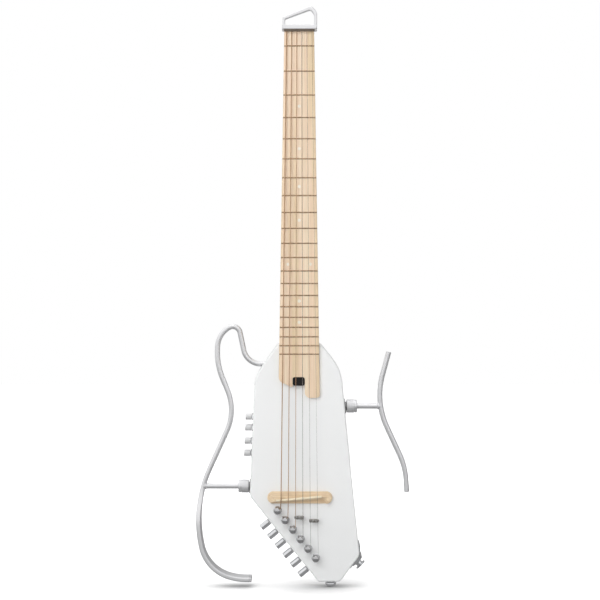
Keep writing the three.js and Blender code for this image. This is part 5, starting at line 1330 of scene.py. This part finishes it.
def collarShell(lean):
    # A turned sleeve, clear of the leaning flange. Between its front rim and its groove the skin is pressed into small
    # diamonds: the lesser of two waves that climb it at the same slope in opposite turns
    start = socket["flangeHeight"] + collar["off"] + collar["radius"] * abs(lean)
    end = start + collar["length"]
    ringAt = end - collar["ring"]
    radius, groove, chamfer, inset = (collar[size] for size in ("radius", "groove", "chamfer", "ringInset"))
    bore, throat, deep, soft = (collar[size] for size in ("bore", "throat", "throatLength", "throatSoft"))
    knurlStart, knurlEnd, fade = start + chamfer, ringAt - groove, collar["knurlFade"]
    teeth = collar["teeth"]
    angle = evenAngles(teeth * 6)
    profile = [(bore, start + collar["boreEdge"]), (radius - chamfer, start)]
    profile += [(radius, h) for h in np.linspace(knurlStart, knurlEnd, collar["knurlRows"])]
    (ringIn, ringUp), slope = collar["ringEdge"], groove * collar["grooveSlope"]
    profile += [(radius - groove, ringAt - slope), (radius - groove, ringAt - collar["grooveEdge"]),
                (radius - inset - ringIn, ringAt + ringUp), (radius - inset, end - chamfer),
                (radius - chamfer - inset, end), (throat + soft, end), (throat, end - soft), (throat, end - deep),
                (bore, end - deep - collar["throatEdge"])]
    profile = np.array(profile)
    height = profile[:, 1:]
    climb = 2 * np.pi * radius / teeth
    wave, counter = (np.abs(((height / climb + way * angle * teeth / (2 * np.pi)) % 1) * 2 - 1) for way in (1, -1))
    pressed = np.clip(np.minimum(wave, counter) * collar["knurlFlank"], 0, 1)
    inside = smoothStep(height, knurlStart, knurlStart + fade) * smoothStep(-height, -knurlEnd, -knurlEnd + fade)
    onSkin = (profile[:, :1] == radius) * inside
    swell = profile[:, :1] - collar["knurl"] * onSkin * (1 - pressed)
    return gridShell(turned(swell, angle, height), loop=True)


def socketShells(place, sign, lean):
    # A threaded barrel through a thin round flange that lies on the body's slanted side
    radius, height = socket["radius"], socket["flangeHeight"]
    inside, rim = radius - socket["flangeOverlap"], socket["flange"]
    flange = tubeShell([(inside, 0), (rim, 0), (rim, height), (inside, height)], sides=56, soften=0.35)
    end, inner, outer = socket["end"], -strut["inside"] - socket["end"], height + socket["thread"]
    depth = socket["threadDepth"] / 2
    before, after = socket["threadEnds"]
    climb = np.linspace(height + before, outer - after, socket["threadRows"])
    thread = [(radius - depth + depth * math.cos(2 * np.pi * h), h) for h in climb]
    bore = strut["radius"] + loose
    floor = bore - socket["floorStep"]
    profile = [(bore, inner + end), (floor, inner + end), (floor, inner), (radius, inner), (radius, 0)] + thread
    profile += [(radius - socket["lead"], outer), (bore, outer)]
    barrel = tubeShell(profile, sides=40, soften=0)
    return [aimed(flange, place, (sign, 0, -sign * lean)), aimed(barrel, place, (sign, 0, 0))]


for name, route, sign in (("left", leftFrame, -1), ("right", rightFrame, 1)):
    z, side, line = strut[name], sideX(name, strut[name]), bentLine(route)
    place = (side + sign * gap, sideDepth, z)
    lean = sideX(name, 1) - sideX(name, 0)
    arm = frameShells(route, line, z, side - sign * (strut["inside"] - gap))
    cap, ring = capShell(route, line), aimed(collarShell(lean), place, (sign, 0, 0))
    addPiece(f"{name}Tube", arm, satinSilver, f"{name}_arm", [f"{name}_frame"], sharp=45)
    addPiece(f"{name}TubeCap", [cap], satinSilver, f"{name}_arm", [f"{name}_end_cap"], sharp=45)
    addPiece(f"{name}LockingCollar", [ring], satinSilver, f"{name}_lock", [f"{name}_collar"], sharp=50)
    addPiece(f"{name}StrutSocket", socketShells(place, sign, lean), steel, replaces=[f"{name}_socket"])
print("frames made")


# Controls in the left side, with the parts behind them
def controlKnobShell(z):
    # A turned cap whose skin is fluted: the radius dips at even steps round it
    radius, length, shaft, flutes = (controls[size] for size in ("radius", "length", "shaft", "flutes"))
    angle = evenAngles(flutes * 6)
    profile = [(shaft, controls["shaftFrom"]), (shaft, 0)] + [(radius - inward, up) for inward, up in controls["rim"]]
    profile += [(radius - inward, length - down) for inward, down in controls["face"]]
    radii, heights = np.array(profile + [(0, length - controls["faceSunk"])]).T[..., None]
    (low, high), (steep, widened) = controls["gripEnds"], controls["fluteWave"]
    gripped = (heights > low) & (heights < length - high)
    dip = controls["fluteDepth"] * np.clip(np.cos(angle * flutes) * steep - widened, 0, 1)
    shell = gridShell(turned(radii - gripped * dip, angle, heights))
    return aimed(shell, (sideX("left", z) - controls["off"], sideDepth, z), (-1, 0, 0))


canFront = cavityLeft + gap
canBack = canFront + controls["canLength"]


def bushShells(z):
    # Threaded bush through the wall, with its hexagonal nut outside
    shaft, height = controls["shaft"], controls["nutHeight"]
    place = (sideX("left", z) - gap - height, sideDepth, z)
    shells = []
    for bore, radius, end, sides, soft in ((shaft + loose, controls["bush"], cavityLeft - place[0], 32, 0.2),
                                           (controls["nutBore"], controls["nut"], height, 6, 0.15)):
        ring = tubeShell([(bore, 0), (radius, 0), (radius, end), (bore, end)], sides, soft, steps=2)
        shells.append(aimed(ring, place, (1, 0, 0)))
    return shells


boardLow, boardHigh = boxOf("control_board")
sheetHalf = controls["sheetHalf"]
sheetCorners = boxCorners(canBack, canBack + controls["sheet"], sideDepth - sheetHalf, sideDepth + sheetHalf)
sheetLevels = softLevels(boardLow[2], boardHigh[2], lowEdge=0.2, highEdge=0.2, steps=2)
sheet = slabShell(sheetCorners, controls["sheetRound"], sheetLevels, steps=2, plane="xy")
cans = [rodShell(controls["can"], (canFront, sideDepth, z), (canBack, sideDepth, z), sides=40, soften=0.5)
        for z in controlZ]
bushes = [shell for z in controlZ for shell in bushShells(z)]
addPiece("controlSheet", [sheet], circuitBoard, replaces=["control_board"])
addPiece("potCans", cans, steel, replaces=["control_board"])
addPiece("potBushes", bushes, chrome, replaces=["control_board"], sharp=30)
for i, z in enumerate(controlZ):
    body, node = f"control_{i + 1}", f"control_knob_{i + 1}"
    addPiece(f"controlKnob{i + 1}", [controlKnobShell(z)], paleLitSilver, body, [node], sharp=35)

# Cover plate at the back with its screws
lidLow, lidHigh = boxOf("back_cover")
lid = {
    "screw": (2.6, 0.8), "screwSunk": 0.85, "screwInset": 5.2, "edge": 0.5,
    "hole": [(0, -1.6), (1.4, -1.6), (3.1, 0.05), (3.1, 1), (0, 1)],  # radius and height over the lid
}
lidShell = slabShell(boxCorners(lidLow[0], lidHigh[0], lidLow[2], lidHigh[2]), cavity["lidRound"] - gap,
                     softLevels(lidLow[1], lidHigh[1], lowEdge=0.2, highEdge=lid["edge"]), steps=8)
lidSpots = [(x, z) for x in (lidLow[0] + lid["screwInset"], lidHigh[0] - lid["screwInset"])
            for z in (lidLow[2] + lid["screwInset"], (lidLow[2] + lidHigh[2]) / 2, lidHigh[2] - lid["screwInset"])]
lidHoles = [aimed(latheShell(lid["hole"], sides=32), (x, lidHigh[1], z), backward) for x, z in lidSpots]
lidScrews = [crossScrew(*lid["screw"], (x, lidHigh[1] - lid["screwSunk"], z), backward) for x, z in lidSpots]
addPiece("cavityLid", [lidShell], blackPlastic, replaces=["back_cover"], cuts=[lidHoles], sharp=35)
addPiece("lidScrews", lidScrews, steel)

# Neck bolts in their ferrules at the back
backY = guitar["thickness"]
ferrule, boltHead = tubeShell(bolts["ring"], sides=48, soften=0.25), (bolts["head"], bolts["dome"])
ferrules = [aimed(ferrule, (x, backY, z), backward) for x, z in boltSpots]
boltHeads = [crossScrew(*boltHead, (x, backY - bolts["headSunk"], z), backward) for x, z in boltSpots]
addPiece("neckBolts", ferrules + boltHeads, chrome, sharp=35)
print("controls and back made")


# Corner plate with the strap jack, and the pin under the body
jackPlate = {
    "halfDepth": 14, "thickness": 1.5, "up": 17, "along": 25, "soft": 0.5, "seatHeight": 5.6,
    "boss": [(0, -13), (13, -13), (13, 0.4), (11, 2.6), (9.4, 5.2), (8.9, 5.6), (0, 5.6)],  # radius, and height out
    "screw": (2.3, 0.9), "screwAlong": 21.5, "screwUp": 10.5, "steps": 12, "outlinePast": 10, "borePast": 20,
}


def plateShell():
    # The body's own corner arc and the sides next to it up to two heights, thickened outward and carried front to back
    deep, soft, count = jackPlate["halfDepth"], jackPlate["soft"], jackPlate["steps"] + 1
    low, top = (hip + hipEdge * jackPlate["along"])[1], hip[1] + jackPlate["up"]

    def atHeight(start, end, z):
        return start + (end - start) * (z - start[1]) / (end[1] - start[1])

    rows = []
    for out in (gap, gap + jackPlate["thickness"]):
        line = roundedLine(slab["corners"], slab["rounds"], out, jackPlate["steps"])
        arc = line[5 * count:6 * count]
        foot, tip = atHeight(arc[0], line[5 * count - 1], low), atHeight(arc[-1], line[6 * count], top)
        rows.append(np.vstack([foot, arc, tip]))
    inner, outer = rows
    flat = deep - soft
    section = [(0, -flat), (0, flat), (0.3, deep), (0.7, deep), (1, flat), (1, -flat), (0.7, -deep), (0.3, -deep)]
    grid = [standing(inner + (outer - inner) * across, sideDepth + y) for across, y in section]
    return gridShell(np.array(grid).transpose(1, 0, 2))


def bossShell():
    # A cone for the jack to sit on; the body's outline trims its foot
    return aimed(latheShell(jackPlate["boss"], sides=72, soften=0.3), jackPoint(0), jackDirection)


def plateScrewShells():
    # One screw on each of the plate's two legs, square to the body's side there
    upZ = hip[1] + jackPlate["screwUp"]
    screws = []
    for spot, edge in ((hip + hipEdge * jackPlate["screwAlong"], -hipEdge),
                       (np.array([sideX("right", upZ), upZ]), unit(np.array(slab["corners"][6]) - hip))):
        normal = np.array([edge[1], -edge[0]])
        at = spot + normal * (gap + jackPlate["thickness"])
        screws.append(crossScrew(*jackPlate["screw"], (at[0], sideDepth, at[1]), (normal[0], 0, normal[1])))
    return screws


def strapJackShell():
    # Button over a waist, bored for the plug
    flange, neckRadius, stem, bore = (jack[size] for size in ("flange", "neck", "stem", "bore"))
    seat = jackPlate["seatHeight"] + gap
    top = seat + jack["height"]
    under, floor, foot = top - jack["flangeHeight"], top - jack["boreDepth"], gap - jack["stemLength"]
    footEdge, rim, slope, mouth = (jack[size] for size in ("foot", "rim", "slope", "mouth"))
    profile = [(0, foot), (stem, foot), (stem, seat), (neckRadius + footEdge, seat), (neckRadius, seat + footEdge),
               (neckRadius, under), (flange, under + slope), (flange, top - rim), (flange - rim, top),
               (bore + mouth, top), (bore, top - mouth), (bore, floor), (0, floor)]
    return aimed(latheShell(profile, sides=56, soften=0.35), jackPoint(0), jackDirection)


def pinShell():
    # Waisted button with its shank in the body
    shank, length = pin["shank"], pin["shankLength"]
    profile = [(0, length), (shank, length), (shank, 0)] + pin["button"]
    points, faces = latheShell(profile, sides=56, soften=0.5)
    return points + np.array([pin["x"], sideDepth, guitar["footZ"] - gap]), faces


outlineLevels = [(-jackPlate["outlinePast"], gap), (guitar["thickness"] + jackPlate["outlinePast"], gap)]
outline = slabShell(slab["corners"], slab["rounds"], outlineLevels, steps=24)
jackBore = rodShell(jack["stem"] + loose, jackPoint(-jackPlate["borePast"]), jackPoint(jackPlate["borePast"]))
addPiece("cornerPlate", [plateShell()], chrome, replaces=["jack_plate"], cuts=[[jackBore]], sharp=35)
addPiece("jackBoss", [bossShell()], chrome, replaces=["jack_plate"], cuts=[[outline], [jackBore]], sharp=35)
addPiece("plateScrews", plateScrewShells(), chrome, replaces=["jack_plate"], sharp=35)
addPiece("strapJack", [strapJackShell()], chrome, replaces=["strap_jack"])
addPiece("strapPin", [pinShell()], chrome, replaces=["bottom_pin"])

# Nodes that keep their own shape take only a finish
for node, material in (("truss_rod", steel), ("pickup_strip", brass), ("battery", cellCase), ("upper_socket", steel)):
    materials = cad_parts[node].data.materials
    materials.clear()
    materials.append(material)
print("hardware made")


# Camera at the photograph's distance and height
photo = {"x": 1.15, "z": -367.1, "y": -2509, "lens": 103.99, "sensor": 36}
camera = bpy.data.objects.new("camera", bpy.data.cameras.new("camera"))
bpy.context.scene.collection.objects.link(camera)
camera.data.lens = photo["lens"]
camera.data.sensor_width = photo["sensor"]
camera.location = zeroFret + np.array([photo["x"], photo["y"], photo["z"]]) * mm
camera.rotation_euler = (math.pi / 2, 0, 0)
bpy.context.scene.camera = camera

# Floor, lamps, plain white surroundings, and a dark mat, a disc and a ring that only gloss sees: dim glowing cards
# that paint dark reflections and lighter left sides onto the metal. In metres from the zero fret
studio = {
    "floorSize": 12, "floorTone": paint(200, 200, 200), "foot": (0.02, 0.0225, -0.785), "paintedShadowReach": 0.11,
    # Near the foot the glow sinks and its openness is raised to a higher power: a painted contact shadow
    "glow": (0.8, 1.0, 0.2, 0.9),  # the floor's strength at and away from the foot, distance from and to
    "paintedShadowPower": (1.9, 0.8, 0.07, 0.2),  # the power its openness is raised to, likewise
    "ambient": 0.21, "aim": (0, 0.02, -0.55),
    "lamps": {  # place, power, size, seen by gloss
        "key": ((-0.6, -1.2, 0.1), 17.5, 1.5, False),
        "glint": ((-0.6, -1.2, 0.1), 5.3, 0.9, True),
        "fill": ((2.2, -0.8, -0.45), 17, 1.4, False),
        "back": ((0.25, 1.7, 0.1), 16, 1.0, False),
        "top": ((0, 0, 1.2), 4, 1.0, True),
    },
    # The disc and ring glow dimly and only in reflections: painted dark reflections round the metal's edges
    "bowls": {  # first and last angle from the line behind the guitar, low and high tone, height from and to
        "disc": (0, 22, 0.23, 0.23),
        "ring": (22, 110, 0.34, 0.53, -0.3, 2.4),
    },
    # The bowls' and mat's glow falls from left to right: painted reflection that lightens the metal's left sides
    "bowlRadius": 4, "bowlZ": -0.45, "bowlSides": 48, "bowlRings": 9, "bowlLeft": 2.2, "bowlRight": 0.9,
    "matTone": 0.21, "matHalf": 2.5, "matLift": 0.001,
}


def combined(tree, operation, first, second, **settings):
    # One value out of two, by the named operation
    return addNode(tree, "Math", {0: first, 1: second}, operation=operation, **settings)


def seenShare(tree):
    # One for rays from the camera, off gloss and through glass; zero for the rest
    rays = tree.nodes.new("ShaderNodeLightPath").outputs
    seen = combined(tree, "ADD", rays["Is Camera Ray"], rays["Is Glossy Ray"])
    return combined(tree, "ADD", seen, rays["Is Transmission Ray"], use_clamp=True)


def floorMaterial():
    # Seen directly or in a reflection the floor glows white: its openness to the object, raised to a power that grows
    # towards the foot, times a level that sinks there. This darkening of the glow is a painted contact shadow; the
    # floor's own shading adds the real shadow
    material, tree, shader = newMaterial("floor", {"Base Color": studio["floorTone"], "Roughness": 0.9})
    away = tree.nodes.new("ShaderNodeVectorMath")
    away.operation = "DISTANCE"
    tree.links.new(ownPlace(tree), away.inputs[0])
    away.inputs[1].default_value = zeroFret + np.array(studio["foot"])
    openness = tree.nodes.new("ShaderNodeAmbientOcclusion")
    openness.inputs["Distance"].default_value = studio["paintedShadowReach"]
    power, level = (spread(tree, away.outputs["Value"], *studio[key]) for key in ("paintedShadowPower", "glow"))
    glow = combined(tree, "MULTIPLY", combined(tree, "POWER", openness.outputs["AO"], power), level)
    glow = combined(tree, "MULTIPLY", glow, seenShare(tree))
    light = addNode(tree, "Emission", {"Color": (1, 1, 1, 1), "Strength": glow})
    added = addNode(tree, "AddShader", {0: shader.outputs[0], 1: light})
    tree.links.new(added, tree.nodes["Material Output"].inputs["Surface"])
    return material


def bowlMaterial(name, low, high, start=0.0, end=1.0):
    # A glow that rises between two heights, times one that falls from left to right: a painted reflection, dark in the
    # metal's edges and undersides and lighter on their left sides
    material = bpy.data.materials.new(name)
    material.use_nodes = True
    tree = material.node_tree
    axes = tree.nodes.new("ShaderNodeSeparateXYZ")
    tree.links.new(ownPlace(tree), axes.inputs["Vector"])
    half = studio["bowlRadius"] / 2
    rise = spread(tree, axes.outputs["Z"], low, high, zeroFret[2] + start, zeroFret[2] + end)
    fall = spread(tree, axes.outputs["X"], studio["bowlLeft"], studio["bowlRight"], -half, half)
    glow = addNode(tree, "Emission", {"Color": (1, 1, 1, 1), "Strength": combined(tree, "MULTIPLY", rise, fall)})
    tree.links.new(glow, tree.nodes["Material Output"].inputs["Surface"])
    return material


def addStage(name, points, faces, material, onlyGloss=False):
    # A piece of the surroundings, if asked seen by nothing but gloss
    mesh = bpy.data.meshes.new(name)
    mesh.from_pydata(points.tolist(), [], faces)
    mesh.materials.append(material)
    card = bpy.data.objects.new(name, mesh)
    bpy.context.scene.collection.objects.link(card)
    if onlyGloss:
        for kind in ("camera", "diffuse", "transmission", "shadow"):
            setattr(card, "visible_" + kind, False)


def bowl(start, end):
    # Part of a sphere round the axis that points away from the camera, between two angles from it
    turn, out = np.meshgrid(evenAngles(studio["bowlSides"]), np.radians(np.linspace(start, end, studio["bowlRings"])))
    points = turned(np.sin(out), turn, np.cos(out))[..., [0, 2, 1]] * studio["bowlRadius"]
    index = np.arange(turn.size).reshape(turn.shape)
    return points.reshape(-1, 3) + zeroFret + np.array([0, 0, studio["bowlZ"]]), ringFaces(index[:-1], index[1:])


def addWorld():
    # White where it is seen; a dim ambient light for everything else
    world = bpy.data.worlds.new("studio")
    bpy.context.scene.world = world
    world.use_nodes = True
    tree = world.node_tree
    background = tree.nodes["Background"]
    background.inputs["Color"].default_value = (1, 1, 1, 1)
    tree.links.new(spread(tree, seenShare(tree), studio["ambient"], 1.0, 0.0, 1.0), background.inputs["Strength"])


def addLamps():
    # Square lamps, each turned from its place towards the aim
    for name, (place, power, size, inGloss) in studio["lamps"].items():
        light = bpy.data.lights.new(name, "AREA")
        light.energy = power
        light.size = size
        lamp = bpy.data.objects.new(name, light)
        bpy.context.scene.collection.objects.link(lamp)
        lamp.location = zeroFret + np.array(place)
        lamp.visible_glossy = inGloss
        toward = np.array(studio["aim"]) - np.array(place)
        tilt, turn = math.atan2(math.hypot(toward[0], toward[1]), -toward[2]), math.atan2(toward[0], -toward[1])
        lamp.rotation_euler = (tilt, 0, turn + math.pi)


floorHalf = studio["floorSize"] / 2
matShare = studio["matHalf"] / floorHalf
floorCorners = np.array([(x, y, cadLow.z) for x, y in boxCorners(-floorHalf, floorHalf, -floorHalf, floorHalf)])
matCorners = floorCorners * [matShare, matShare, 1] + [0, 0, studio["matLift"]]
# The mat lies on the floor for gloss only: painted shade in the reflections of the metal's undersides
matFinish = bowlMaterial("mat", studio["matTone"], studio["matTone"])
addStage("floor", floorCorners, [(0, 1, 2, 3)], floorMaterial())
addStage("glossOnlyShadeMat", matCorners, [(0, 1, 2, 3)], matFinish, True)
for name, (first, last, *tones) in studio["bowls"].items():
    addStage(name, *bowl(first, last), bowlMaterial(name, *tones), True)
addWorld()
addLamps()
bpy.context.scene.view_settings.view_transform = "Standard"
print("studio made")
